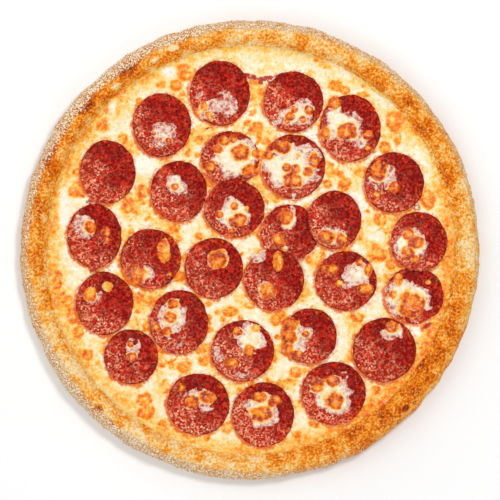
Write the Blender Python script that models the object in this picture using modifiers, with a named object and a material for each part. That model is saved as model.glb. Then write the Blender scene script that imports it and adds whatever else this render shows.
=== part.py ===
"""A whole, uncut, round pepperoni pizza about 300 mm across, in metres, with +Z up.

The origin is the middle of the flat underside, and +Y points to the top of the pizza as it is seen from
above. The crust is one turned solid: a flat base with a raised rim. The cheese is an uneven disc that laps
the foot of the rim. The slices of pepperoni lie in recesses in the cheese, a few of them leaning on a
neighbour or on the rim, and pools of melted cheese lie on most of them.
"""

import math
from dataclasses import dataclass, field
from typing import NamedTuple

import bmesh
import bpy
from mathutils import Vector, noise

MM = 0.001

# Gap between two solids that touch, and the distance under which a turned profile's points merge.
FIT_GAP = 0.3 * MM
MERGE_DISTANCE = 0.0001

# Crust
PIZZA_RADIUS = 150.0 * MM
BASE_RADIUS = 143.0 * MM
FLOOR_HEIGHT = 8.0 * MM
RIM_FOOT_RADIUS = 125.5 * MM
RIM_TOP_RADIUS = 139.5 * MM
RIM_TOP_HEIGHT = 18.8 * MM
RIM_WIDEST_HEIGHT = 8.5 * MM
CRUST_STEPS = 88
INNER_SLOPE_PARTS = 6
OUTER_ARC_PARTS = 4
LOWER_ARC_PARTS = 3

# Relief of the baked rim: it starts clear of the cheese and ends clear of the flat base.
RIM_RELIEF_START = 131.0 * MM
RIM_RELIEF_FULL = 136.0 * MM
RIM_RELIEF_LOW = 4.5 * MM
RIM_SWELL = 1.3 * MM
RIM_SWELL_LENGTH = 38.0 * MM
RIM_BUMP = 1.0 * MM
RIM_BUMP_LENGTH = 13.0 * MM

# Cheese
CHEESE_TOP_HEIGHT = 12.3 * MM
CHEESE_EDGE_RADIUS = 130.3 * MM
CHEESE_EDGE_WAVE = 0.9 * MM
CHEESE_EDGE_LOBES = 3.0
CHEESE_EDGE_THICKNESS = 0.7 * MM
CHEESE_EDGE_SETBACK = 2.8 * MM
CHEESE_SETBACK_SHARES = (0.35, 0.95)
CHEESE_SLOPE_GAP = 0.45 * MM
CHEESE_RING_RADII = [28 * MM, 52 * MM, 72 * MM, 89 * MM, 103 * MM, 115 * MM, 124 * MM]
CHEESE_SWELL = 0.55 * MM
CHEESE_SWELL_LENGTH = 21.0 * MM

# Pepperoni
SLICE_STEPS = 16
SLICE_THICKNESS = 2.1 * MM
SLICE_BED_HEIGHT = 11.2 * MM
SLICE_SUNK = 0.9 * MM
SLICE_WOBBLE = 0.025
SLICE_LOBES = 1.3
SLICE_LEAN = 0.024
SLICE_STACK_LEAN = 0.075
SLICE_SPACING = 0.9 * MM
EDGE_POINTS = 64
NEAR_EDGE = 1.1
CUTTER_MARGIN = 0.35 * MM
CUTTER_HEIGHT = 9.0 * MM

# Melted cheese on the slices
POOL_STEPS = 12
POOL_HEIGHT = 0.9 * MM
POOL_WOBBLE = 0.16
POOL_LOBES = 2.0

# Steps between the noise of one slice and the next, so that no two are alike.
SHAPE_SEED = 7.0
LEAN_SEED = 0.37
POOL_SEED = 3.0
SECOND_NOISE = Vector((3.0, 8.0, 1.0))

# Sections of a slice, of the cutter of its recess and of a pool, turned round the upright axis. The first
# number is a share of the radius there and the second a share of the thickness.
SLICE_SECTION = [(0.0, 0.72), (0.8, 0.86), (0.97, 1.0), (1.0, 0.5), (0.95, 0.0), (0.0, 0.0)]
CUTTER_SECTION = [(0.0, 1.0), (1.0, 1.0), (1.0, 0.0), (0.0, 0.0)]
POOL_SECTION = [(0.0, 1.0), (0.6, 0.8), (1.0, 0.2), (0.96, 0.0), (0.0, 0.0)]


class Spot(NamedTuple):
    """A slice as seen from above: the place of its middle, its width and its depth, in millimetres."""

    x: float
    y: float
    wide: float
    tall: float


class Pool(NamedTuple):
    """Melted cheese on a slice: the slice's number, then the middle and half sizes in millimetres."""

    on: int
    x: float
    y: float
    half_wide: float
    half_tall: float


# The slices, numbered from 1, row by row from the top.
SPOTS = [
    Spot(-57.4, 81.6, 38.0, 41.8),
    Spot(-19.5, 102.3, 39.2, 42.5),
    Spot(28.3, 96.9, 39.2, 39.2),
    Spot(65.5, 79.3, 39.8, 43.8),
    Spot(-92.8, 50.9, 36.4, 40.8),
    Spot(-46.3, 38.3, 36.6, 39.8),
    Spot(-13.0, 59.1, 38.5, 36.6),
    Spot(28.3, 54.2, 41.8, 42.5),
    Spot(93.7, 43.9, 39.2, 39.8),
    Spot(-9.4, 26.8, 39.2, 37.2),
    Spot(55.1, 19.7, 35.9, 37.2),
    Spot(25.1, 11.2, 37.9, 37.9),
    Spot(-101.4, 9.3, 35.3, 41.2),
    Spot(-64.7, -5.6, 39.2, 39.2),
    Spot(-22.8, -12.0, 38.5, 39.2),
    Spot(15.0, -19.2, 39.2, 39.8),
    Spot(62.4, -20.1, 39.8, 38.5),
    Spot(109.9, 5.4, 37.2, 38.5),
    Spot(106.4, -30.0, 38.3, 37.5),
    Spot(-94.8, -35.1, 37.9, 40.5),
    Spot(-46.2, -47.1, 38.5, 42.5),
    Spot(-4.8, -65.6, 41.2, 39.2),
    Spot(38.9, -56.0, 35.9, 36.6),
    Spot(87.9, -64.3, 41.2, 41.8),
    Spot(-77.5, -69.3, 35.3, 35.9),
    Spot(-33.5, -100.3, 41.2, 40.5),
    Spot(8.7, -107.3, 41.2, 41.2),
    Spot(54.5, -93.4, 42.1, 41.8),
]

# Slices that lie on the edge of another: the upper one's number, then the lower one's.
STACKED = [(11, 12), (16, 12), (10, 7), (18, 19)]

POOLS = [
    Pool(1, -57.0, 75.0, 9.0, 8.0),
    Pool(2, -18.5, 95.0, 10.0, 8.0),
    Pool(3, 31.0, 88.5, 11.0, 8.0),
    Pool(4, 61.5, 80.0, 12.5, 14.0),
    Pool(6, -49.0, 42.0, 7.0, 6.0),
    Pool(7, -9.5, 60.5, 12.0, 12.5),
    Pool(8, 28.0, 54.0, 16.5, 16.0),
    Pool(9, 86.0, 47.0, 8.0, 10.0),
    Pool(10, -11.0, 22.5, 11.0, 10.0),
    Pool(11, 54.0, 9.5, 8.5, 5.0),
    Pool(12, 26.0, 19.0, 6.0, 7.5),
    Pool(13, -107.0, 15.0, 7.0, 8.5),
    Pool(14, -70.0, -14.5, 8.0, 6.0),
    Pool(15, -21.0, -7.0, 6.5, 6.5),
    Pool(16, 12.0, -27.0, 6.0, 6.0),
    Pool(17, 69.0, -15.5, 8.5, 6.5),
    Pool(18, 106.0, 4.0, 10.5, 10.0),
    Pool(19, 104.0, -32.0, 13.0, 12.0),
    Pool(20, -102.5, -29.5, 5.5, 6.0),
    Pool(21, -51.0, -45.0, 8.5, 12.0),
    Pool(22, -0.5, -59.5, 10.0, 10.0),
    Pool(23, 30.5, -57.0, 6.5, 11.0),
    Pool(24, 91.5, -53.0, 7.0, 5.0),
    Pool(25, -77.0, -63.5, 5.0, 7.5),
    Pool(26, -33.0, -97.0, 9.0, 6.0),
    Pool(27, 9.0, -104.5, 11.0, 10.5),
    Pool(28, 52.5, -92.5, 14.0, 13.0),
]


class Finish(NamedTuple):
    """Base colour, as red, green and blue in linear light, and roughness."""

    colour: tuple[float, float, float]
    roughness: float


CRUST_FINISH = Finish((0.62, 0.27, 0.07), 0.75)
CHEESE_FINISH = Finish((0.88, 0.63, 0.28), 0.35)
PEPPERONI_FINISH = Finish((0.33, 0.03, 0.02), 0.3)
POOL_FINISH = Finish((0.90, 0.74, 0.46), 0.3)


def smooth_step(low, high, value):
    """Nought below low, one above high and an even curve between them."""
    share = min(max((value - low) / (high - low), 0.0), 1.0)
    return share * share * (3.0 - 2.0 * share)


def rim_slope_height(radius):
    """Height of the crust's upper face from its middle out to the top of the rim."""
    share = (radius - RIM_FOOT_RADIUS) / (RIM_TOP_RADIUS - RIM_FOOT_RADIUS)
    share = min(max(share, 0.0), 1.0)
    return FLOOR_HEIGHT + (RIM_TOP_HEIGHT - FLOOR_HEIGHT) * (1.0 - math.cos(math.pi * share)) / 2.0


def quarter_arc(middle, half_wide, half_tall, start, parts):
    """Points of a quarter of an oval that runs clockwise in the section, without its first point."""
    points = []
    for part in range(1, parts + 1):
        turn = start - math.pi / 2.0 * part / parts
        points.append((middle[0] + half_wide * math.cos(turn), middle[1] + half_tall * math.sin(turn)))
    return points


@dataclass
class Slice:
    """One slice of pepperoni as it lies, with the height of its underside and how that leans."""

    number: int
    middle: Vector
    half_wide: float
    half_tall: float
    bed: float = SLICE_BED_HEIGHT
    lean: Vector = field(default_factory=lambda: Vector((0.0, 0.0)))

    def reach(self, angle):
        """Distance from the middle to the slice's edge in the direction of an angle."""
        across = self.half_tall * math.cos(angle)
        along = self.half_wide * math.sin(angle)
        oval = self.half_wide * self.half_tall / math.hypot(across, along)
        lobes = SLICE_LOBES * Vector((math.cos(angle), math.sin(angle)))
        wobble = noise.noise(Vector((*lobes, SHAPE_SEED * self.number)))
        return oval * (1.0 + SLICE_WOBBLE * wobble)

    def edge_points(self):
        """Points spread along the slice's edge, seen from above."""
        points = []
        for step in range(EDGE_POINTS):
            angle = 2.0 * math.pi * step / EDGE_POINTS
            points.append(self.middle + self.reach(angle) * Vector((math.cos(angle), math.sin(angle))))
        return points

    def share_of_radius(self, place):
        """Nought at the slice's middle and one at its edge."""
        offset = place - self.middle
        if offset.length < MERGE_DISTANCE:
            return 0.0
        return offset.length / self.reach(math.atan2(offset.y, offset.x))

    def underside(self, place):
        """Height of the slice's underside at a place."""
        return self.bed + self.lean.dot(place - self.middle)

    def upper_face(self, place):
        """Height of the slice's upper face at a place on it, from its turned section."""
        share = min(self.share_of_radius(place), SLICE_SECTION[2][0])
        inner, outer = SLICE_SECTION[0], SLICE_SECTION[1]
        if share > outer[0]:
            inner, outer = SLICE_SECTION[1], SLICE_SECTION[2]
        part = (share - inner[0]) / (outer[0] - inner[0])
        thickness = inner[1] + part * (outer[1] - inner[1])
        return self.underside(place) + SLICE_THICKNESS * thickness


def push_apart(slices):
    """Moves neighbours that don't lie on each other apart until they are SLICE_SPACING from touching."""
    stacked = {frozenset(pair) for pair in STACKED}
    for first in slices:
        for second in slices[first.number :]:
            if frozenset((first.number, second.number)) in stacked:
                continue
            between = second.middle - first.middle
            angle = math.atan2(between.y, between.x)
            room = between.length - first.reach(angle) - second.reach(angle + math.pi)
            if room < SLICE_SPACING:
                shift = between.normalized() * (SLICE_SPACING - room) / 2.0
                first.middle -= shift
                second.middle += shift


def lean_on_rim(piece):
    """Tips a slice up about its inner edge where its outer edge would reach into the foot of the rim."""
    outward = piece.middle.normalized()
    inner_edge = piece.half_wide
    slope = 0.0
    for place in piece.edge_points():
        short = rim_slope_height(place.length) + CHEESE_SLOPE_GAP - piece.underside(place)
        distance = inner_edge + outward.dot(place - piece.middle)
        if short > 0.0 and distance > 0.0:
            slope = max(slope, short / distance)
    piece.lean += outward * slope
    piece.bed += inner_edge * slope


def lean_on_slice(upper, lower):
    """Tips the upper slice towards the lower one and lifts it until the two are clear."""
    upper.lean += (lower.middle - upper.middle).normalized() * SLICE_STACK_LEAN
    shared = [place for place in upper.edge_points() if lower.share_of_radius(place) < NEAR_EDGE]
    shared += [place for place in lower.edge_points() if upper.share_of_radius(place) < NEAR_EDGE]
    short = max(lower.upper_face(place) - upper.underside(place) for place in shared)
    upper.bed += max(short + 2.0 * FIT_GAP, 0.0)


def lay_slices():
    """The slices as they lie: spaced, sunk where another lies on them, and leaning where they must."""
    slices = []
    for number, spot in enumerate(SPOTS, 1):
        middle = Vector((spot.x, spot.y)) * MM
        piece = Slice(number, middle, spot.wide * MM / 2.0, spot.tall * MM / 2.0)
        place = Vector((LEAN_SEED * number, 0.0, 0.0))
        tips = Vector((noise.noise(place), noise.noise(place + SECOND_NOISE)))
        piece.lean += tips * SLICE_LEAN
        slices.append(piece)
    push_apart(slices)
    for lower in {pair[1] for pair in STACKED}:
        slices[lower - 1].bed -= SLICE_SUNK
    for piece in slices:
        lean_on_rim(piece)
    for upper, lower in STACKED:
        lean_on_slice(slices[upper - 1], slices[lower - 1])
    return slices


def turned_mesh(name, section, steps):
    """Mesh of a section, as pairs of radius and height, turned once round the upright axis."""
    outline = bmesh.new()
    points = [outline.verts.new((radius, 0.0, height)) for radius, height in section]
    for first, second in zip(points, points[1:]):
        outline.edges.new((first, second))
    line_mesh = bpy.data.meshes.new(name)
    outline.to_mesh(line_mesh)
    outline.free()
    guide = bpy.data.objects.new(name, line_mesh)
    bpy.context.scene.collection.objects.link(guide)
    turn = guide.modifiers.new("turn", "SCREW")
    turn.steps = steps
    turn.render_steps = steps
    turn.use_merge_vertices = True
    turn.merge_threshold = MERGE_DISTANCE
    graph = bpy.context.evaluated_depsgraph_get()
    mesh = bpy.data.meshes.new_from_object(guide.evaluated_get(graph))
    bpy.data.objects.remove(guide)
    bpy.data.meshes.remove(line_mesh)
    return mesh


def food_material(name, finish):
    """A plain material of one colour and roughness."""
    material = bpy.data.materials.new(name)
    material.use_nodes = True
    shader = material.node_tree.nodes["Principled BSDF"]
    shader.inputs["Base Color"].default_value = (*finish.colour, 1.0)
    shader.inputs["Roughness"].default_value = finish.roughness
    shader.inputs["Metallic"].default_value = 0.0
    material.diffuse_color = (*finish.colour, 1.0)
    return material


def add_piece(name, mesh, material, collection):
    """Puts a mesh in the scene as a named, smoothly shaded piece."""
    mesh.name = name
    mesh.materials.clear()
    mesh.materials.append(material)
    mesh.shade_smooth()
    mesh.set_sharp_from_angle(angle=math.radians(40.0))
    piece = bpy.data.objects.new(name, mesh)
    collection.objects.link(piece)
    return piece


def crust_mesh():
    """The dough: a flat base, the inner slope of the rim, its rounded top and its outer side."""
    section = [(0.0, FLOOR_HEIGHT), (RIM_FOOT_RADIUS, FLOOR_HEIGHT)]
    slope_width = RIM_TOP_RADIUS - RIM_FOOT_RADIUS
    for part in range(1, INNER_SLOPE_PARTS + 1):
        radius = RIM_FOOT_RADIUS + slope_width * part / INNER_SLOPE_PARTS
        section.append((radius, rim_slope_height(radius)))
    section += quarter_arc(
        (RIM_TOP_RADIUS, RIM_WIDEST_HEIGHT),
        PIZZA_RADIUS - RIM_TOP_RADIUS,
        RIM_TOP_HEIGHT - RIM_WIDEST_HEIGHT,
        math.pi / 2.0,
        OUTER_ARC_PARTS,
    )
    section += quarter_arc(
        (BASE_RADIUS, RIM_WIDEST_HEIGHT),
        PIZZA_RADIUS - BASE_RADIUS,
        RIM_WIDEST_HEIGHT,
        0.0,
        LOWER_ARC_PARTS,
    )
    section.append((0.0, 0.0))
    mesh = turned_mesh("crust", section, CRUST_STEPS)
    moves = []
    for vertex in mesh.vertices:
        place = vertex.co
        strength = smooth_step(RIM_RELIEF_START, RIM_RELIEF_FULL, math.hypot(place.x, place.y))
        strength *= smooth_step(0.0, RIM_RELIEF_LOW, place.z)
        swell = RIM_SWELL * noise.noise(place / RIM_SWELL_LENGTH)
        bump = RIM_BUMP * noise.noise(place / RIM_BUMP_LENGTH + SECOND_NOISE)
        moves.append(vertex.normal.copy() * strength * (swell + bump))
    for vertex, move in zip(mesh.vertices, moves):
        vertex.co += move
    return mesh


def cheese_edge_radius(angle, slices):
    """Radius of the cheese's edge in a direction: it stops short under a slice that lies on the rim."""
    lobes = CHEESE_EDGE_LOBES * Vector((math.cos(angle), math.sin(angle), 0.0))
    radius = CHEESE_EDGE_RADIUS + CHEESE_EDGE_WAVE * noise.noise(lobes + SECOND_NOISE)
    for piece in slices:
        bearing = math.atan2(piece.middle.y, piece.middle.x)
        if piece.middle.length + piece.reach(bearing) < CHEESE_EDGE_RADIUS - CHEESE_EDGE_WAVE:
            continue
        apart = abs(math.remainder(angle - bearing, 2.0 * math.pi)) * CHEESE_EDGE_RADIUS
        near = 1.0 - smooth_step(*(share * piece.half_wide for share in CHEESE_SETBACK_SHARES), apart)
        radius -= CHEESE_EDGE_SETBACK * near
    return radius


def cheese_mesh(slices):
    """The cheese before the slices sink in: an uneven disc whose edge lies on the foot of the rim."""
    top, bottom = 1.0, 0.0
    section = [(0.0, top)] + [(radius, top) for radius in CHEESE_RING_RADII]
    section += [(CHEESE_EDGE_RADIUS, top), (CHEESE_EDGE_RADIUS, bottom)]
    section += [(CHEESE_RING_RADII[-1], bottom), (0.0, bottom)]
    mesh = turned_mesh("cheese", section, CRUST_STEPS)
    for vertex in mesh.vertices:
        is_top = vertex.co.z > 0.5
        radius = math.hypot(vertex.co.x, vertex.co.y)
        if radius > CHEESE_RING_RADII[-1] + MM:
            edge = cheese_edge_radius(math.atan2(vertex.co.y, vertex.co.x), slices)
            vertex.co.xy *= edge / radius
            radius = edge
        under = rim_slope_height(radius) + (CHEESE_SLOPE_GAP if radius > RIM_FOOT_RADIUS else FIT_GAP)
        place = Vector((vertex.co.x, vertex.co.y, 0.0))
        swell = CHEESE_SWELL * noise.noise(place / CHEESE_SWELL_LENGTH)
        upper = max(CHEESE_TOP_HEIGHT + swell, under + CHEESE_EDGE_THICKNESS)
        vertex.co.z = upper if is_top else under
    return mesh


def slice_mesh(piece, section, margin, thickness, drop):
    """A section turned to the slice's oval and laid on its leaning bed, with a margin all round."""
    mesh = turned_mesh("slice", section, SLICE_STEPS)
    for vertex in mesh.vertices:
        share = math.hypot(vertex.co.x, vertex.co.y)
        angle = math.atan2(vertex.co.y, vertex.co.x)
        distance = share * (piece.reach(angle) + margin)
        place = piece.middle + distance * Vector((math.cos(angle), math.sin(angle)))
        height = piece.underside(place) - drop + vertex.co.z * thickness
        vertex.co = (place.x, place.y, height)
    return mesh


def pool_mesh(pool, carrier):
    """A low dome of melted cheese with an uneven edge, laid on the upper face of its slice."""
    mesh = turned_mesh("pool", POOL_SECTION, POOL_STEPS)
    middle = Vector((pool.x, pool.y)) * MM
    for vertex in mesh.vertices:
        angle = math.atan2(vertex.co.y, vertex.co.x)
        lobes = POOL_LOBES * Vector((math.cos(angle), math.sin(angle)))
        wobble = 1.0 + POOL_WOBBLE * noise.noise(Vector((*lobes, POOL_SEED * pool.on)))
        offset = Vector((vertex.co.x * pool.half_wide, vertex.co.y * pool.half_tall)) * MM
        place = middle + offset * wobble
        height = carrier.upper_face(place) + FIT_GAP + vertex.co.z * POOL_HEIGHT
        vertex.co = (place.x, place.y, height)
    return mesh


def build_pizza():
    """Makes every piece of the pizza and cuts the slices' recesses into the cheese."""
    for old in list(bpy.data.objects):
        bpy.data.objects.remove(old)
    pizza = bpy.data.collections.new("pepperoni_pizza")
    cutters = bpy.data.collections.new("slice_cutters")
    for collection in (pizza, cutters):
        bpy.context.scene.collection.children.link(collection)

    slices = lay_slices()
    crust_material = food_material("crust", CRUST_FINISH)
    cheese_material = food_material("cheese", CHEESE_FINISH)
    pepperoni_material = food_material("pepperoni", PEPPERONI_FINISH)
    pool_material = food_material("melted_cheese", POOL_FINISH)

    add_piece("crust", crust_mesh(), crust_material, pizza)
    cheese = add_piece("cheese", cheese_mesh(slices), cheese_material, pizza)
    for piece in slices:
        mesh = slice_mesh(piece, SLICE_SECTION, 0.0, SLICE_THICKNESS, 0.0)
        add_piece(f"pepperoni_{piece.number:02d}", mesh, pepperoni_material, pizza)
        mesh = slice_mesh(piece, CUTTER_SECTION, CUTTER_MARGIN, CUTTER_HEIGHT, FIT_GAP)
        cutter = add_piece(f"recess_{piece.number:02d}", mesh, cheese_material, cutters)
        cutter.hide_render = True
        cutter.display_type = "WIRE"
    for pool in POOLS:
        mesh = pool_mesh(pool, slices[pool.on - 1])
        add_piece(f"melted_cheese_{pool.on:02d}", mesh, pool_material, pizza)

    recesses = cheese.modifiers.new("recesses", "BOOLEAN")
    recesses.operation = "DIFFERENCE"
    recesses.operand_type = "COLLECTION"
    recesses.collection = cutters
    recesses.solver = "EXACT"


build_pizza()
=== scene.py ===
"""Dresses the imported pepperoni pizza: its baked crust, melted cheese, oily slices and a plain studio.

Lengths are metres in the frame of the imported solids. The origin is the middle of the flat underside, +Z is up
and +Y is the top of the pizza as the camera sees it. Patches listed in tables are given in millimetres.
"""

import logging
import math
from dataclasses import dataclass, field
from enum import Enum
from functools import cache
from typing import NamedTuple, Sequence

import bmesh
import bpy
import numpy as np
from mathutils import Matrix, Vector, noise

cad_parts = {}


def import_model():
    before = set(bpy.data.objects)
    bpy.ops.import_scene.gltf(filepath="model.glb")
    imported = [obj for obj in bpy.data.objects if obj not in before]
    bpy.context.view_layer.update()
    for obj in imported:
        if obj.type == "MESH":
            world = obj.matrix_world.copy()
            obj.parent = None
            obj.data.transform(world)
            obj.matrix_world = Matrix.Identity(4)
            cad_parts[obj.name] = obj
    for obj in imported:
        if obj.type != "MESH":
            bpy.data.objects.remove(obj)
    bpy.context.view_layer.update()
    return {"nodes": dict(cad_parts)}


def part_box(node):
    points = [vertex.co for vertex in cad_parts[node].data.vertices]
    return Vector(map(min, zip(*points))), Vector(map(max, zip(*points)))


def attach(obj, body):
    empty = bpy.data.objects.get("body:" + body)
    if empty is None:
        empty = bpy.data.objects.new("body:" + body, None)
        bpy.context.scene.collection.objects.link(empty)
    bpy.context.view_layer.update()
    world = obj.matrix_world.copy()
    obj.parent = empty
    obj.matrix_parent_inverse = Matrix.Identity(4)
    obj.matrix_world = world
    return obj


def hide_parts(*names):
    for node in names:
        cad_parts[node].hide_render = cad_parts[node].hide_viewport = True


MM = 0.001
Array = np.ndarray
Colour = tuple[float, float, float, float]
Pair = tuple[float, float]
# The two ends of a range or of a soft step, which is nought at the first and one at the second.
Range = tuple[float, float]
# A factor and an offset, by which one value gives another.
Line = tuple[float, float]
# The height of a flat sheet under which a point belongs to its closed underside.
UNDERSIDE = -0.1
Socket = bpy.types.NodeSocket


def srgb(red: int, green: int, blue: int) -> Colour:
    """A screen colour, from 0 to 255 a channel, in linear light."""
    linear = [((c / 255 + 0.055) / 1.055) ** 2.4 if c > 10 else c / 255 / 12.92 for c in (red, green, blue)]
    return (*linear, 1.0)


def smooth_step(low: float, high: float, value: Array) -> Array:
    """Nought at low, one at high and an even curve between, for either order of the two."""
    share = np.clip((value - low) / (high - low), 0.0, 1.0)
    return share * share * (3.0 - 2.0 * share)


def field_noise(places: Array, length: float, seed: int = 0) -> Array:
    """Smooth noise at each place.

    Args:
        places: Points, one to a row.
        length: Distance over which the noise changes.
        seed: Picks another part of the noise.

    Returns:
        One value from about -0.8 to 0.8 for each point.
    """
    shifted = places / length + np.array((3.1, 8.2, 1.3)) * seed
    return np.fromiter((noise.noise(place) for place in shifted.tolist()), float, len(shifted))


class Layer(NamedTuple):
    """One layer of noise: its strength, the distance over which it changes, and its seed."""

    strength: float
    length: float
    seed: int = 0


def layered_noise(places: Array, *layers: Layer) -> Array:
    """The sum of layers of noise at each place."""
    return sum(layer.strength * field_noise(places, layer.length, layer.seed) for layer in layers)


def flat_places(x: Array, y: Array) -> Array:
    """Points at height nought from their two coordinates."""
    return np.column_stack((x, y, np.zeros(len(x))))


class Patch(NamedTuple):
    """An oval patch: its middle and half sizes in millimetres, its strength and its turn in degrees."""

    x: float
    y: float
    wide: float
    tall: float
    strength: float = 1.0
    turn: float = 0.0

    def distance(self, x: Array, y: Array) -> Array:
        """Nought at the patch's middle and one at its edge, for places in metres."""
        turn = math.radians(self.turn)
        across, along = x / MM - self.x, y / MM - self.y
        first = across * math.cos(turn) + along * math.sin(turn)
        second = along * math.cos(turn) - across * math.sin(turn)
        return np.hypot(first / self.wide, second / self.tall)

    def near(self, x: Array, y: Array, reach: float, wave: Array) -> tuple[Array, Array]:
        """The numbers of the places within reach of the patch, and their distances with a wave added."""
        near = np.flatnonzero(self.distance(x, y) < reach)
        return near, self.distance(x[near], y[near]) + wave[near]


class Blister(NamedTuple):
    """A bubble of cheese that browned: its middle and half sizes in millimetres, and how brown it is."""

    x: float
    y: float
    wide: float
    tall: float = 0.0
    toast: float = 1.0

    def patch(self) -> Patch:
        """The oval that the bubble covers."""
        return Patch(self.x, self.y, self.wide, self.tall or self.wide)


class Film(Enum):
    """How thick the cheese lies on a slice, as its greatest thickness in millimetres."""

    BUBBLES = 0.16
    THIN = 0.30
    MILKY = 0.55
    CREAMY = 0.90


# The slices that carry each kind of film. A film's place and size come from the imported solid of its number.
FILMS: dict[Film, tuple[int, ...]] = {
    Film.BUBBLES: (2, 11, 15, 16, 20),
    Film.THIN: (1, 9, 13, 24, 25, 26),
    Film.MILKY: (3, 6, 14, 17, 21, 23, 27),
    Film.CREAMY: (4, 7, 8, 10, 12, 18, 19, 22, 28),
}

# Smaller films beside the main ones, with their greatest thickness in millimetres as the strength.
SIDE_FILMS: list[Patch] = [
    Patch(*row)
    for row in (
        (-28, 91, 6, 7, 0.22, 30), (-33, 101, 4, 2, 0.16, 40), (16.5, 83, 4.5, 1.8, 0.25, 30),
        (71, 70, 6, 4, 0.5, 30), (-8, 52, 5, 3.5, 0.6, 0), (-68, -13, 5, 4, 0.5, 0),
        (65, -23, 5, 2.5, 0.35, 20), (93, -30, 5, 8, 0.6, 0), (-46, -62, 5, 2, 0.22, 20),
        (-21, -68, 3, 6, 0.2, 20), (-3, -81, 6, 2, 0.25, 0), (36, -54, 5, 4.5, 0.5, 0),
        (98, -53, 2.5, 5.5, 0.4, 10), (-72.5, -62, 1.5, 5, 0.3, 10), (-28, -104, 5, 1.4, 0.35, 10),
        (-40, -103, 3, 1.5, 0.25, 0), (2, -102, 3, 6, 0.35, 20), (16, -110, 4, 3, 0.35, 0),
        (5, -4, 6, 4, 0.3, 30), (23, 1, 2.5, 2, 0.5, 0),
    )
]

# Browned bubbles on the slices and across their edges.
SLICE_BLISTERS: list[Blister] = [
    Blister(*row)
    for row in (
        (-53, 71, 2.2), (-63, 76, 1.6), (-58.5, 72, 1.2), (-30, 94, 2.6, 3.4, 0.8), (-27, 88, 2.6, 2.2, 0.8),
        (-34, 89, 2, 2.6, 0.7), (-25, 85, 2, 1.6, 0.7), (26, 87, 3), (29, 91.5, 2.4), (24, 83.5, 2),
        (34.5, 85, 2.2), (38.5, 91, 3), (17, 95, 1.6, 1.6, 0.6), (63, 77, 6.2, 5.6), (55, 96, 4.2),
        (49, 76, 3.6, 4.4, 0.8), (77, 75, 3.4), (78, 66.5, 2.8), (-49, 41, 2.4), (-17, 71, 4.2, 3.4),
        (-21, 66, 3.2), (-11, 72.5, 3), (-6, 63.5, 6, 5.2), (-27, 54, 5.2, 4.4), (0, 51, 5.2, 4.4),
        (4, 63, 2.6), (21, 67.5, 6, 4.4), (12, 62, 3.4), (24, 53.5, 2.8), (30, 52.5, 3), (27.5, 45.5, 6, 5.4),
        (37.5, 51, 3.4), (42, 58, 4, 5), (32, 62, 2, 1.6, 0.6), (84, 52, 5.2, 6.8), (94, 41, 3.8, 4.4),
        (82, 36.5, 3.2), (-8, 19, 5.5, 5), (-20, 23, 2.4), (-10, 28.5, 2.6), (-2, 27, 2, 2, 0.6),
        (-12, 11.5, 2.5), (50, 8, 6, 4.8), (59.5, 6, 4, 4.4), (23, 22, 5.4), (20, 7, 5, 5.4), (-104, 15, 4),
        (-94, 12, 3, 3.6), (-93, 6, 2.6, 2.2), (-56, -1, 4.6, 8.4, 0.8), (-76, -16, 8, 6.6), (-53, -16, 2),
        (-21, -6, 6.4), (18, -7, 3.6, 6.8, 0.8), (12, -27, 6), (53, -13, 5, 4.2), (47.5, -12, 3.4),
        (71, -8, 2.8), (75, -26, 5.4, 4.8), (58, -22, 3, 2.4, 0.8), (77, -13, 3, 4), (103, 11, 3.8, 4.4),
        (108, 5, 5, 4.6), (103, -2.5, 4.4, 5), (107.5, -6, 3), (105, -37, 8.4, 9.2), (97, -19, 3, 4, 0.8),
        (93, -29, 2.6), (116, -21, 2, 2, 0.7), (-104, -29, 4.8, 5, 0.8), (-93, -24, 4, 3.4, 0.6),
        (-50, -35, 4, 3.4), (-52, -44, 4), (-61, -51, 3.4), (-54, -53, 3.2), (-8, -53, 3.4),
        (4, -51, 3.4, 3, 0.7), (-1, -67, 3.4, 5), (-13, -74, 5, 4.4), (26, -48, 5.4, 5), (25, -56.5, 4.8),
        (24.5, -65, 4), (31, -68, 3.8, 3.2), (36, -55, 2.4), (92, -50, 4.8, 4), (-77, -70, 3.4),
        (-78, -61, 2.4), (-45, -89, 3.4), (-38, -99, 5, 4.2), (-27, -96, 5.6, 4.6), (8, -107, 7.6, 4.8),
        (6, -96, 4.8, 3.6), (16, -98.5, 4.6, 4), (44, -88, 4.6, 5.4), (54, -85, 4.8, 3.8), (55, -98, 5.8, 5.4),
    )
]

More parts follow.
